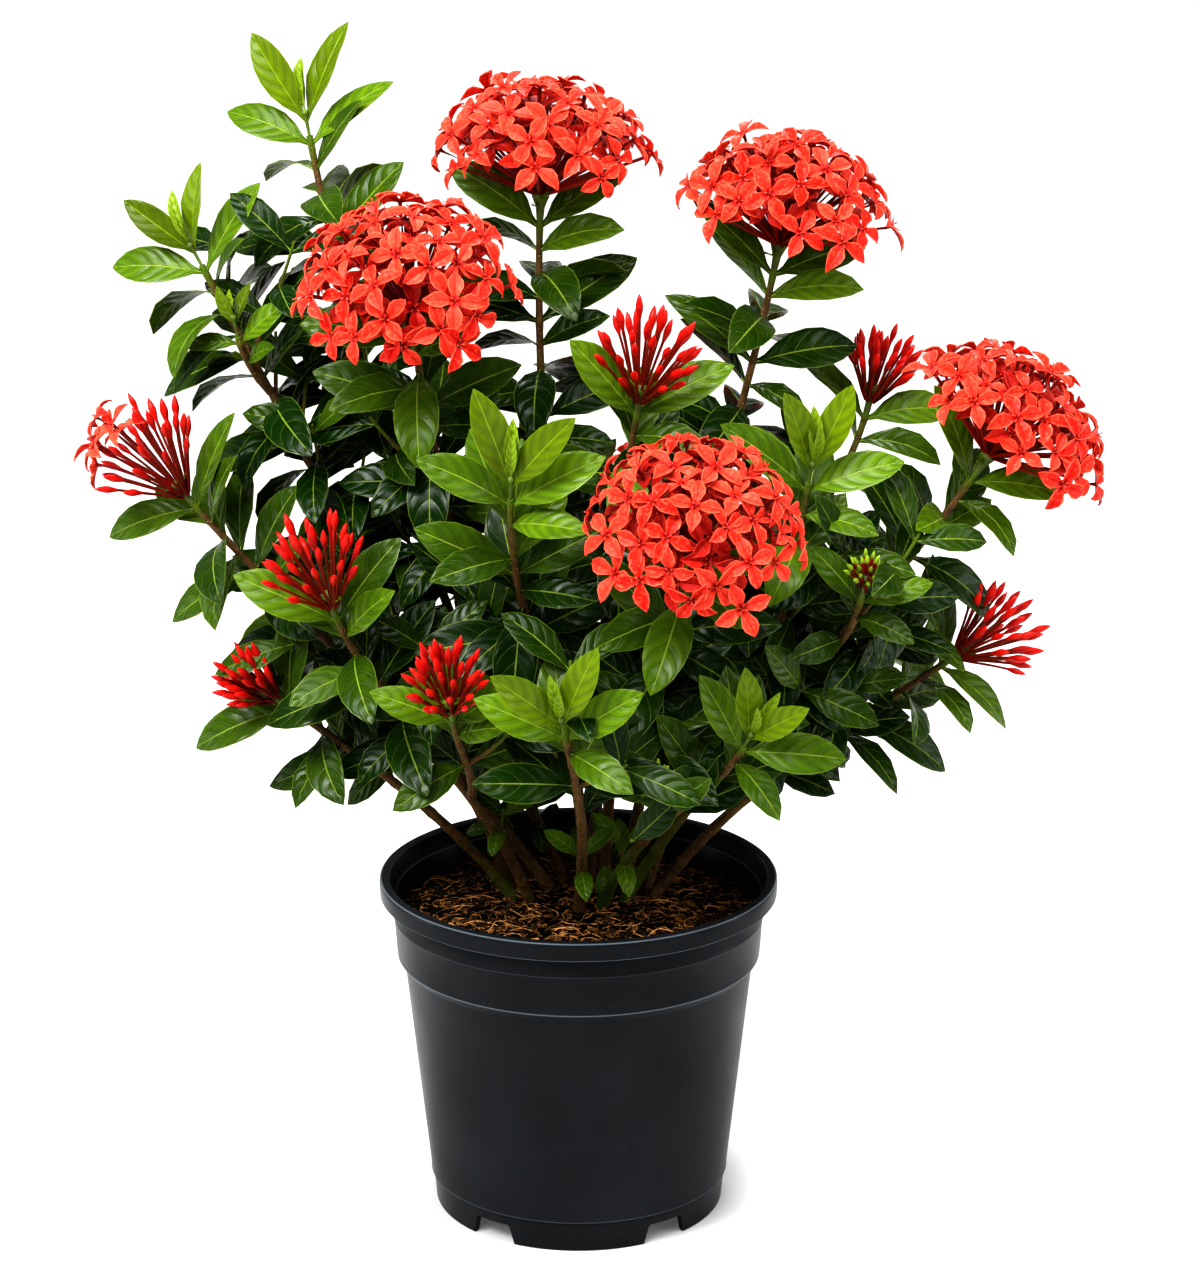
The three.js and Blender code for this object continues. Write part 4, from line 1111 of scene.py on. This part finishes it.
# The rows of a blade along its length and its half width there, both as shares
LEAF_ROWS = [0, 0.09, 0.19, 0.32, 0.46, 0.61, 0.76, 0.9, 1]
LEAF_BREADTHS = [0.07, 0.12, 0.46, 0.82, 0.98, 1, 0.84, 0.48, 0.02]


def leaf_pattern(thickness, rows=8):
    """A blade of full size: a grid whose rows slant along the veins, then given its thickness."""
    leaf = start_piece(
        "leaf", bpy.ops.mesh.primitive_grid_add, x_subdivisions=4, y_subdivisions=rows, size=1,
        location=(0, 0.5, 0))

    def shape(corners):
        half = corners[:, 0] * 2
        row = np.interp(corners[:, 1], np.linspace(0, 1, len(LEAF_ROWS)), LEAF_ROWS)
        out = np.abs(half)
        share = row + 0.08 * out * np.sin(math.pi * row) ** 0.8
        breadth = np.interp(share, LEAF_ROWS, LEAF_BREADTHS)
        across = half * breadth * LEAF.length * LEAF.width_share * 0.47
        rise = 0.8 * np.sin(math.pi * out) * breadth
        return np.column_stack([across, share * LEAF.length, rise]) * MM

    reshape(leaf, shape)
    apply_modifier(leaf, "SOLIDIFY", thickness=thickness, offset=-1, material_offset=1)
    return smooth(leaf, 70)


def grown_blade(pattern, shape, leaf, rng, fold=BLADE.fold, **values):
    """A copy of the blade pattern laid along a leaf's place, with a twist and ripples of its own."""
    scale = leaf.length / LEAF.length
    share = shape[:, 1] / LEAF.length
    wide = leaf.width_share / LEAF.width_share
    across = shape[:, 0] * scale * wide
    half_width = leaf.length * leaf.width_share / 2
    twist = rng.uniform(-BLADE.twist, BLADE.twist) * share
    ripple = rng.uniform(*BLADE.ripple) * np.sin(
        2 * math.pi * (rng.uniform(*BLADE.waves) * share + rng.random())
        + np.sign(across) * BLADE.sides_apart)
    slope = math.tan(math.radians(rng.uniform(*fold)))
    rise = shape[:, 2] * scale + (np.sqrt(across ** 2 + 0.5) - 0.7) * slope
    rise += ripple * (across / half_width) ** 2 * np.sin(math.pi * np.clip(share, 0, 1))
    rise += across * np.sin(twist)
    sway = leaf.length * rng.uniform(-BLADE.sway, BLADE.sway) * share ** 2
    across = across * np.cos(twist) + sway
    return copy_of(pattern, blade_points(leaf, share, across, rise), **values)


def petiole_points(rod, leaf):
    """The short stalk of a leaf, from inside the stem to the start of its midrib."""
    fuller = min(1, PETIOLE.full_leaf / leaf.length)
    share = rod[:, 2] / PETIOLE.length * PETIOLE.share * fuller
    size = leaf.length / LEAF.length
    return blade_points(leaf, share, rod[:, 0] * size, rod[:, 1] * size - PETIOLE.sunk)


def stem_points(shoot, tube):
    """The tube pattern laid along a shoot, with a swelling at each leaf pair."""
    start = 0.0 if shoot.base_radius < STEM.base_radius else -STEM.buried / shoot.length
    t = start + tube[:, 2] * (1 - start)
    point, _, side, front = shoot.frame(t)
    radius = shoot.radius(t)
    for pair in range(shoot.pairs + STEM.bare_pairs):
        away = (t - shoot.pair_share(pair)) * shoot.length
        radius = radius * (1 + STEM.swelling * np.exp(-(away / STEM.swelling_length) ** 2))
    return point + side * (tube[:, 0] * radius)[:, None] + front * (tube[:, 1] * radius)[:, None], t


def straight_rod(name, rings, sides):
    """The straight rod that a stem or twig is bent from."""
    return turned(name, [(1, ring * ROD_LENGTH / rings) for ring in range(rings + 1)], sides)


class IXORA_OT_stems(bpy.types.Operator):
    """Grows the woody stems with their pairs of glossy leaves"""
    bl_idname = "ixora.stems"
    bl_label = "Leafy Stems"

    def execute(self, context):
        patterns = self.patterns(context.scene.ixora_foliage)
        shoots = grow_shoots()
        neighbours = Neighbours(shoots)
        for node in dict.fromkeys(shoot.stem for shoot in shoots):
            tips = stem_tips(node)
            pieces = []
            for shoot in (shoot for shoot in shoots if shoot.stem == node):
                pieces += self.branch(shoot, tips, patterns)
                pieces += self.inside(shoot, neighbours, patterns)
            finished(fuse(node + "_leafy", pieces), "leaf", node)
        clear_away(*(pattern for pattern, _ in patterns.values()))
        return {"FINISHED"}

    def patterns(self, settings):
        """What the stems are copied from, by name: each pattern and its corners."""
        leaf = leaf_pattern(settings.leaf_thickness)
        vein = tuple(settings.vein_colour)
        leaf.data.materials.append(leaf_finish(
            "ixora_leaf", tuple(settings.old_colour), tuple(settings.new_colour), vein, 0.14))
        back = tuple(settings.back_colour)
        leaf.data.materials.append(leaf_finish(
            "ixora_leaf_back", tuple(v * 0.6 for v in back), back, vein, 0.05, -0.6))
        tube = straight_rod("stem", 72, 9)
        tube.data.materials.append(bark_finish(tuple(settings.bark_colour), linear(78, 98, 24)))
        inner = leaf_pattern(settings.leaf_thickness, rows=5)
        for finish in leaf.data.materials:
            inner.data.materials.append(finish)
        petiole = turned("petiole", [(1.15, 0), (0.85, 5), (0.5, PETIOLE.length)], 5)
        petiole.data.materials.append(plain_finish(
            "ixora_petiole", vein, tuple(settings.new_colour), 200.0, 0.5, 0.2, 0.2))
        twig = straight_rod("twig", 8, 6)
        twig.data.materials.append(tube.data.materials[0])
        patterns = {p.name: (p, points_of(p)) for p in (leaf, tube, petiole, twig)}
        patterns["inner"] = (inner, points_of(inner))
        for name in ("stem", "twig"):
            patterns[name][1][:, 2] /= ROD_LENGTH
        return patterns

    def branch(self, shoot, tips, patterns):
        """A shoot with the leaves that its solid bears."""
        rng = np.random.default_rng(SEEDS.leaves + shoot.number)
        tube, ring = patterns["stem"]
        points, t = stem_points(shoot, ring)
        green = GREEN_FEET.get(shoot.name, 0) - GREENING.foot_fade * np.clip(t, 0, 1)
        along = GREENING.run + GREENING.fork * shoot.forked
        young = np.maximum(t * along, GREENING.tip * t - GREENING.before_tip)
        pieces = [copy_of(tube, points, age=np.maximum(young, green), shade=0.5)]
        for pair in range(shoot.pairs):
            for half in (0, 1):
                place = fitted_leaf(shoot, pair, half, tips)
                if place:
                    below_young = shoot.bears == "fresh" and pair == 0
                    age = AGE.below_young if below_young else min(1, AGE.first + AGE.step * pair)
                    pieces += self.leaf(place, patterns, "leaf", age, rng)
        return pieces

    def leaf(self, place, patterns, blade, age, rng):
        petiole, rod = patterns["petiole"]
        return [
            grown_blade(*patterns[blade], place, rng, age=age, shade=rng.random()),
            copy_of(petiole, petiole_points(rod, place), age=age, shade=rng.random())]

    def inside(self, shoot, neighbours, patterns):
        """The twigs and the leaves between the pairs that fill the inside of the bush."""
        rng = np.random.default_rng(SEEDS.inside + shoot.number)
        pieces = []
        for pair in range(shoot.pairs + 2):
            for half in (0, 1):
                if shoot.pair_share(pair + 0.5) < INNER_LEAF.lowest_share:
                    continue
                attempt = (0, INNER_LEAF.lift, rng.uniform(*INNER_LEAF.sizes))
                place = leaf_place(shoot, pair + 0.5, half, attempt)
                if place.base[2] > TWIG.lowest and not hangs_too_low(place):
                    age = min(1, AGE.inner + AGE.step * pair)
                    pieces += self.leaf(place, patterns, "inner", age, rng)
        branches = side_twigs(shoot, neighbours, rng)
        sprout = low_sprout(shoot, rng)
        if sprout:
            branches.append(sprout)
        twig, ring = patterns["twig"]
        for branch in branches:
            points, t = stem_points(branch, ring)
            age = GREENING.twig_foot + GREENING.twig * t
            pieces.append(copy_of(twig, points, age=age, shade=0.5))
            for pair in range(branch.pairs):
                for half in (0, 1):
                    attempt = (0, 0, rng.uniform(*TWIG.leaf_sizes))
                    place = leaf_place(branch, pair, half, attempt)
                    if branch is sprout or not hangs_too_low(place):
                        age = AGE.sprout if branch is sprout else AGE.twig + AGE.twig_step * pair
                        pieces += self.leaf(place, patterns, "inner", age, rng)
        return pieces


# ------------------------------------------------------------------------ flowers, buds and shoots

# The rows of a petal along its length and its half width there, both as shares
PETAL_ROWS = [0, 0.2, 0.4, 0.62, 0.83, 1]
PETAL_BREADTHS = [0.26, 0.6, 0.96, 0.88, 0.42, 0.01]


def petal_pattern(length):
    petal = start_piece(
        "petal", bpy.ops.mesh.primitive_grid_add, x_subdivisions=2, size=1, location=(0, 0.5, 0),
        y_subdivisions=len(PETAL_ROWS) - 1)

    def shape(corners):
        half = corners[:, 0] * 2
        share = np.interp(corners[:, 1], np.linspace(0, 1, len(PETAL_ROWS)), PETAL_ROWS)
        across = half * np.interp(share, PETAL_ROWS, PETAL_BREADTHS) * 0.26 * length
        arch = 0.08 * np.sin(math.pi * share * 0.9) - 0.05 * share ** 2
        rise = arch * length + 0.55 * abs(across)
        return np.column_stack([across, 0.07 * length + share * 0.93 * length, rise])

    reshape(petal, shape)
    apply_modifier(petal, "SOLIDIFY", thickness=0.35 * MM, offset=-1)
    return smooth(petal, 42)


def floret_pattern(settings):
    """A floret upright on its tube, with its throat at the origin: four petals, stamens and style."""
    petal = petal_pattern(settings.petal_length)
    petal.data.materials.append(petal_finish(
        tuple(settings.petal_colour), tuple(settings.highlight_and_fleck_colour), tuple(settings.throat_colour)))
    pieces = []
    for quarter in range(4):
        turn = quarter * math.pi / 2
        pieces.append(reshape(
            twin(petal, "petal"), lambda corners: turned_about_axis(corners, turn)))
    rings = [
        (0.85, TUBE.root), (0.9, -33), (0.9, -26), (0.85, TUBE.top), (1.15, -3), (1.3, 0.25),
        (0.3, -0.4)]
    tube = turned("floret_tube", rings, 5)
    tube.data.materials.append(tube_finish(settings))
    pieces.append(tube)
    pale = plain_finish("anther", linear(236, 84, 58), linear(170, 26, 14), 300.0, 0.6, 0.2, 0.2)
    style = turned("style", [(0.28, -0.5), (0.25, 2.4), (0.5, 3.0), (0.2, 3.7)], 4)
    style.data.materials.append(pale)
    pieces.append(style)
    for quarter in range(4):
        anther = start_piece("anther", bpy.ops.mesh.primitive_cube_add, size=1)
        anther.data.materials.append(pale)
        turn = (quarter + 0.5) * math.pi / 2
        pieces.append(reshape(anther, lambda corners: turned_about_axis(
            corners * (0.5 * MM, 1.5 * MM, 0.4 * MM) + (0, 2 * MM, 0.9 * MM), turn)))
    bpy.data.objects.remove(petal)
    return fuse("floret", pieces)


def tube_finish(settings):
    return shared_finish(
        "flower_tube", plain_finish, linear(104, 30, 11), tuple(settings.throat_colour), 160.0, 0.5,
        0.2, 0.2, Specular_IOR_Level=0.15)


def bud_pattern(settings, name, colour, tip_colour, length, radius):
    """A closed bud on its tube, with its tip at the origin."""
    neck = 0.38 * radius
    profile = [
        (0.8 * neck, TUBE.root), (0.85 * neck, -33), (0.9 * neck, -26), (neck, TUBE.top),
        (neck, -length - 1), (0.94 * radius, -0.66 * length), (radius, -0.5 * length),
        (0.62 * radius, -0.2 * length), (0.1 * radius, 0)]
    bud = turned(name, profile, 6)
    bud.data.materials.append(plain_finish(
        name + "_skin", colour, tip_colour, 120.0, 0.34, 0.25, 0.2, Specular_IOR_Level=0.2))
    bud.data.materials.append(tube_finish(settings))
    for face in bud.data.polygons:
        face.material_index = int(face.center.z < -0.9 * length * MM)
    return smooth(bud, 80)


def on_tube(points, place, reach, scale=1.0, foot=0.0):
    """Points of an upright pattern moved out along a tube's axis. The tube stretches down to the hub,
    where its foot stands aside by some millimetres."""
    x, y, z = points.T
    down = np.clip((TUBE.top - z) / (TUBE.top - TUBE.root), 0, 1)
    top = max(reach + TUBE.top * scale, 0.45 * reach)
    height = np.where(z <= TUBE.top, top * (1 - down) - TUBE.sunk * down, reach + z * scale)
    slim = np.where(z <= TUBE.top, 1.0, scale)
    aside = x * slim + foot * np.clip(1 - height / reach, 0, 1) ** 1.5
    return (
        place.middle + place.axis * height[:, None] + place.side * aside[:, None]
        + place.front * (y * slim)[:, None]
    )


def leaned(place, reach, rng):
    """The frame of a floret at the end of its tube, with a heading and a little lean of its own."""
    end = place.middle + place.axis * reach
    axis = unit(
        place.axis + FLORET.lean * rng.uniform(-1, 1) * place.side
        + FLORET.lean * rng.uniform(-1, 1) * place.front)
    spin = rng.uniform(0, 2 * math.pi)
    side = square_to(place.side * math.cos(spin) + place.front * math.sin(spin), axis)
    return Sizes(middle=end - axis * reach, axis=axis, side=side, front=np.cross(axis, side))


def opened(shape, place, reach, rng):
    """A floret's points: it faces out of the head, and its petals curl back more or less."""
    x, y, z = shape.T
    spread = np.hypot(x, y)
    curl = rng.uniform(*FLORET.curls)
    size = rng.uniform(*FLORET.sizes)
    facing = leaned(place, reach, rng)
    petals = facing.middle + facing.axis * (reach + (z - curl * spread ** 2) * size)[:, None] + (
        facing.side * (x * size)[:, None] + facing.front * (y * size)[:, None])
    below = on_tube(shape, place, reach)
    share = np.clip((z + FLORET.throat) / FLORET.throat, 0, 1)[:, None]
    return np.where(z[:, None] < TUBE.top, below, petals * share + below * (1 - share))


def laid(head, x, y, z):
    """Points of an upright pattern, laid along the head's axis."""
    return head.middle + head.axis * z[:, None] + head.side * x[:, None] + head.front * y[:, None]


def hub_pieces(head, scale, patterns, rng):
    """The green hub on its stalk, with small bracts round it."""
    (hub, lathe), (leaf, blade) = patterns
    x, y, z = lathe.T
    z = np.where(z < HUB.neck, z, z * scale)
    slim = np.where(z < HUB.neck, 1, scale)
    pieces = [copy_of(hub, laid(head, x * slim, y * slim, z), age=0.6, shade=0.6)]
    for step in range(BRACT.count):
        turn = step * 2 * math.pi / BRACT.count + rng.uniform(-BRACT.sway, BRACT.sway)
        place = tilted(head, turn, math.radians(rng.uniform(*BRACT.tilts)))
        bract = Sizes(
            base=head.middle - head.axis * BRACT.apart * scale * (step % 3), axis=place.axis,
            up=square_to(head.axis, place.axis), length=rng.uniform(*BRACT.lengths) * scale,
            arch=BRACT.arch, width_share=BRACT.width_share)
        pieces.append(grown_blade(leaf, blade, bract, rng, age=0.2, shade=rng.random()))
    return pieces


def hub_patterns(settings):
    """The lathed hub, and the blade that its bracts and the fresh shoots are copied from."""
    green = tuple(settings.new_colour)
    profile = [(1.9, -12.2), (2.3, -6), (3.6, -2.5), (4.6, 0), (3.8, 2.4), (2, 4), (0.4, 4.8)]
    hub = turned("hub", profile, 8)
    hub.data.materials.append(shared_finish(
        "hub_skin", plain_finish, linear(62, 58, 30), green, 140.0, 0.6, 0.4, 0.4))
    smooth(hub, 80)
    leaf = leaf_pattern(0.4 * MM)
    fresh = tuple(settings.fresh_colour)
    vein = tuple(min(1, v * 1.7 + 0.015) for v in fresh)
    leaf.data.materials.append(shared_finish(
        "fresh_leaf", leaf_finish, tuple(v * 0.25 for v in fresh), fresh, vein, 0.14, 0.7))
    pale = tuple(min(1, v * 1.1) for v in fresh)
    leaf.data.materials.append(shared_finish(
        "fresh_leaf_back", leaf_finish, tuple(v * 0.6 for v in fresh), pale, vein, 0.05, -0.5))
    return [(hub, points_of(hub)), (leaf, points_of(leaf))]


def heads_of(kind):
    return [shoot for shoot in grow_shoots() if shoot.bears == kind]


class IXORA_OT_blooms(bpy.types.Operator):
    """Builds the flower heads in full bloom"""
    bl_idname = "ixora.blooms"
    bl_label = "Flower Heads"

    def execute(self, context):
        settings = context.scene.ixora_flowers
        floret = floret_pattern(settings)
        bud_tip = tuple(settings.petal_colour)
        bud = bud_pattern(settings, "late_bud", tuple(settings.bud_colour), bud_tip, 11, 2.1)
        hubs = hub_patterns(context.scene.ixora_foliage)
        inner = settings.florets * 3 // 5
        layers = [(1, *step) for step in cap_directions(settings.florets, BLOOM.spread)]
        layers += [(BLOOM.inner, *step) for step in cap_directions(inner, BLOOM.inner_spread)]
        patterns = (floret, points_of(floret)), (bud, points_of(bud))
        for shoot in heads_of("bloom"):
            pieces = self.flower_head(shoot, layers, patterns, hubs)
            finished(fuse(shoot.head + "_florets", pieces), "petal", shoot.head)
        clear_away(floret, bud, *(pattern for pattern, _ in hubs))
        return {"FINISHED"}

    def flower_head(self, shoot, layers, patterns, hubs):
        """A hub with an outer and an inner layer of florets, the inner one darkened as painted shade,
        and here and there a late bud.
        """
        (floret, open_shape), (bud, bud_shape) = patterns
        rng = np.random.default_rng(SEEDS.blooms + shoot.number)
        head = shoot.head_frame()
        pieces = hub_pieces(head, shoot.scale, hubs, rng)
        for depth, index, turn, tilt in layers:
            turn += rng.uniform(-BLOOM.turn_sway, BLOOM.turn_sway)
            place = tilted(head, turn, tilt + rng.uniform(-BLOOM.tilt_sway, BLOOM.tilt_sway))
            staggered = BLOOM.radius + BLOOM.stagger * ((index % 3) - 1)
            scattered = staggered + rng.uniform(-BLOOM.scatter, BLOOM.scatter)
            reach = scattered * shoot.scale * depth
            if rng.random() < BLOOM.late_buds:
                points = on_tube(bud_shape, place, reach - BLOOM.late_bud_sunk)
                pieces.append(copy_of(bud, points, shade=rng.random()))
                continue
            points = opened(open_shape, place, reach, rng)
            # The inner layer is darkened as painted shade
            sunk = 0.0 if depth == 1 else BLOOM.inner_sunk
            pieces.append(copy_of(floret, points, shade=rng.random(), sunk=sunk))
        return pieces


class IXORA_OT_buds(bpy.types.Operator):
    """Builds the heads of closed red buds and the young green clusters"""
    bl_idname = "ixora.buds"
    bl_label = "Bud Heads"

    def execute(self, context):
        settings = context.scene.ixora_flowers
        bud_tip = tuple(settings.petal_colour)
        red = bud_pattern(settings, "red_bud", tuple(settings.bud_colour), bud_tip, 12, 2.15)
        green = bud_pattern(settings, "green_bud", linear(76, 106, 18), linear(146, 168, 44), 7, 1.45)
        floret = floret_pattern(settings)
        hubs = hub_patterns(context.scene.ixora_foliage)
        for kind, sizes, bud, slot, count in (
                ("buds", BUD_HEAD, red, "bud", settings.buds),
                ("green", GREEN_CLUSTER, green, "green_bud", settings.buds * 2 // 3)):
            patterns = (floret, points_of(floret)), (bud, points_of(bud))
            for shoot in heads_of(kind):
                pieces = self.bud_head(shoot, sizes, count, patterns, hubs)
                finished(fuse(shoot.head + "_cluster", pieces), slot, shoot.head)
        clear_away(red, green, floret, *(pattern for pattern, _ in hubs))
        return {"FINISHED"}

    def bud_head(self, shoot, sizes, count, patterns, hubs):
        """A hub with a cap of buds. One of the heads has opened its first florets."""
        (floret, open_shape), (bud, bud_shape) = patterns
        rng = np.random.default_rng(SEEDS.buds + shoot.number)
        head = shoot.head_frame()
        pieces = hub_pieces(head, sizes.hub, hubs, rng)
        to_tip = np.clip(1 + bud_shape[:, 2] / BUD_SHADE.length, 0, 1)
        for _, turn, tilt in cap_directions(count, sizes.spread):
            turn += rng.uniform(-BUD_SWAY.turn, BUD_SWAY.turn)
            place = tilted(head, turn, tilt + rng.uniform(-BUD_SWAY.tilt, BUD_SWAY.tilt))
            lower = (tilt / math.radians(sizes.spread)) ** 2
            fallen = BUD_FALL.middle - BUD_FALL.outside * lower
            reach = sizes.radius * shoot.scale * rng.uniform(*BUD_SWAY.reaches) * fallen
            if shoot.head == OPENING.head and place.axis @ OPENING.towards > OPENING.least:
                points = opened(open_shape, place, reach, rng)
                pieces.append(copy_of(floret, points, shade=rng.random()))
                continue
            foot = sizes.foot * math.sin(tilt)
            points = on_tube(bud_shape, place, reach, rng.uniform(*BUD_SWAY.sizes), foot)
            # Lighter towards the tip and darker towards the foot: painted highlight and painted shade
            by_chance = BUD_SHADE.by_chance * rng.random()
            shade = by_chance + BUD_SHADE.to_tip * to_tip - BUD_SHADE.foot
            pieces.append(copy_of(bud, points, shade=shade))
        return pieces


class IXORA_OT_fresh_shoots(bpy.types.Operator):
    """Builds the pale young leaves on the ends of the growing shoots"""
    bl_idname = "ixora.fresh_shoots"
    bl_label = "Fresh Shoots"

    def execute(self, context):
        (hub, lathe), (leaf, blade) = hub_patterns(context.scene.ixora_foliage)
        for shoot in heads_of("fresh"):
            rng = np.random.default_rng(SEEDS.young + shoot.number)
            head = shoot.head_frame()
            x, y, z = (lathe * (YOUNG_HUB.width, YOUNG_HUB.width, 1)).T
            z = np.where(z < HUB.neck, z, z * YOUNG_HUB.height)
            pieces = [copy_of(hub, laid(head, x, y, z), age=0.2, shade=0.9)]
            # Paler outer leaves on the low shoots in half shade: painted light
            outer_age = FRESH_AGE.shaded if shoot.name in PAINTED_LIGHT_SHOOTS else FRESH_AGE.open
            for number, entry in enumerate(YOUNG_LEAVES):
                place = self.young_leaf(shoot, head, *entry)
                if number < 2:
                    fold, age = YOUNG_FOLD.outer, rng.uniform(*outer_age)
                else:
                    fold, age = YOUNG_FOLD.centre, FRESH_AGE.centre
                pieces.append(grown_blade(leaf, blade, place, rng, fold, age=age, shade=rng.random()))
            finished(fuse(shoot.head + "_leaves", pieces), "young_leaf", shoot.head)
        clear_away(hub, leaf)
        return {"FINISHED"}

    def young_leaf(self, shoot, head, quarter, length, from_stem, width, above):
        """Where a leaf of a fresh shoot grows and how it lies."""
        turn = math.radians(90 * quarter + YOUNG_SWAY.turn * swing(shoot.number, 9))
        lean = math.radians(from_stem + YOUNG_SWAY.lean * swing(shoot.number, quarter, 7))
        axis = tilted(head, turn, lean).axis
        base = head.middle + head.axis * above
        drawn = 1 + YOUNG_SWAY.length * swing(shoot.number, quarter, 8)
        return Sizes(
            base=base, axis=axis, up=upper_face(head.axis, axis, out_of_bush(base, axis)),
            length=length * shoot.scale * drawn, arch=YOUNG_ARCH, width_share=width)


# -------------------------------------------------------------------------------------- the stage

# Metres from the pot's axis, degrees and millimetres
CAMERA = Sizes(place=(0, -1.95, 0.9062), turn=(73.425, 0, -0.348), sensor=36, lens=105.81)
SUN = Sizes(turn=(38, -22, 0), breadth=40)
AIM = Vector((0, 0, 0.3))
# Where each softbox hangs, its width and height in metres, and its power in watts
SOFTBOXES = [
    ((-1.3, -1.2, 1.9), (0.6, 0.6), 36), ((1.6, -0.9, 1.3), (0.5, 1.3), 14),
    ((0.2, 1.5, 2.0), (1.2, 0.7), 28), ((-1.5, 0.1, 0.5), (0.35, 1.2), 6),
    ((1.5, 0.1, 0.5), (0.35, 1.2), 6), ((0, -0.75, 2.2), (1.8, 0.2), 30),
]
# The floor glows less round the pot's foot, a painted shadow ring that also lets its cast shadow show:
# metres from the axis, and share
PAINTED_SHADOW_RING = (0.082, 0.116)
PAINTED_SHADOW_SHARE = 0.2


class IXORA_OT_stage(bpy.types.Operator):
    """Sets the floor, the soft lights and the camera"""
    bl_idname = "ixora.stage"
    bl_label = "Floor, Lights and Camera"

    def execute(self, context):
        settings = context.scene.ixora_stage
        self.add_floor(settings)
        self.add_daylight(context.scene, settings)
        context.scene.view_settings.view_transform = "Standard"
        context.scene.view_settings.look = "High Contrast"
        self.add_lights(context, settings)
        self.add_camera(context)
        return {"FINISHED"}

    def add_floor(self, settings):
        """A pale floor that glows, but less where the pot stands: a painted shadow round its foot."""
        floor = start_piece("floor", bpy.ops.mesh.primitive_plane_add, size=80)
        finish = Finish("floor", Roughness=0.9, Specular_IOR_Level=0.1, Emission_Color=(1, 1, 1))
        away = finish.tree.nodes.new("ShaderNodeVectorMath")
        away.operation = "DISTANCE"
        finish.feed(away, {0: finish.place(), 1: tuple(POT_AXIS)})
        glow = settings.floor_glow
        # Less glow near the foot: painted shadow
        strength = finish.span(away.outputs["Value"], *PAINTED_SHADOW_RING, PAINTED_SHADOW_SHARE * glow, glow)
        tone = tuple(settings.floor_colour)
        floor.data.materials.append(finish.wear(Emission_Strength=strength, Base_Color=finish.blend(
            finish.noise(0.6), tone, tuple(v * 0.985 for v in tone))))

    def add_daylight(self, scene, settings):
        """Soft light from all round, in front of a sky that is plain white."""
        world = scene.world or bpy.data.worlds.new("daylight")
        scene.world = world
        world.use_nodes = True
        sky = world.node_tree.nodes["Background"]
        sky.inputs["Color"].default_value = (1, 1, 1, 1)
        seen = world.node_tree.nodes.new("ShaderNodeLightPath").outputs["Is Camera Ray"]
        strength = world.node_tree.nodes.new("ShaderNodeMapRange")
        strength.inputs["To Min"].default_value = settings.daylight
        world.node_tree.links.new(seen, strength.inputs["Value"])
        world.node_tree.links.new(strength.outputs["Result"], sky.inputs["Strength"])

    def add_lights(self, context, settings):
        for place, size, power in SOFTBOXES:
            bpy.ops.object.light_add(type="AREA", location=place)
            light = context.object
            light.data.shape = "RECTANGLE"
            light.data.size, light.data.size_y = size
            light.data.energy = power
            heading = AIM - Vector(place)
            light.rotation_euler = heading.to_track_quat("-Z", "Y").to_euler()
            light.visible_camera = False
        bpy.ops.object.light_add(type="SUN", rotation=[math.radians(angle) for angle in SUN.turn])
        context.object.data.energy = settings.sun
        context.object.data.angle = math.radians(SUN.breadth)

    def add_camera(self, context):
        turn = [math.radians(angle) for angle in CAMERA.turn]
        bpy.ops.object.camera_add(location=POT_AXIS + CAMERA.place, rotation=turn)
        camera = context.object
        camera.data.sensor_width = CAMERA.sensor
        camera.data.lens = CAMERA.lens
        context.scene.camera = camera


OPERATORS = (
    IXORA_OT_pot, IXORA_OT_soil, IXORA_OT_stems, IXORA_OT_blooms, IXORA_OT_buds,
    IXORA_OT_fresh_shoots, IXORA_OT_stage,
)
SETTINGS = {
    "ixora_pot": PotSettings, "ixora_soil": SoilSettings, "ixora_foliage": FoliageSettings,
    "ixora_flowers": FlowerSettings, "ixora_stage": StageSettings,
}


class IXORA_PT_panel(bpy.types.Panel):
    """Lists the plant's pieces with their sizes and colours"""
    bl_idname = "IXORA_PT_panel"
    bl_label = "Potted Ixora"
    bl_space_type = "VIEW_3D"
    bl_region_type = "UI"
    bl_category = "Ixora"

    def draw(self, context):
        for name, group in SETTINGS.items():
            box = self.layout.box()
            for setting in group.__annotations__:
                box.prop(getattr(context.scene, name), setting)
        for operator in OPERATORS:
            self.layout.operator(operator.bl_idname)


def register():
    for group in SETTINGS.values():
        bpy.utils.register_class(group)
    for name, group in SETTINGS.items():
        setattr(bpy.types.Scene, name, bpy.props.PointerProperty(type=group))
    for made in (*OPERATORS, IXORA_PT_panel):
        bpy.utils.register_class(made)


def unregister():
    for made in (IXORA_PT_panel, *reversed(OPERATORS)):
        bpy.utils.unregister_class(made)
    for name, group in SETTINGS.items():
        delattr(bpy.types.Scene, name)
        bpy.utils.unregister_class(group)


def main():
    register()
    for operator in OPERATORS:
        group, name = operator.bl_idname.split(".")
        getattr(getattr(bpy.ops, group), name)()


if __name__ == "__main__":
    main()
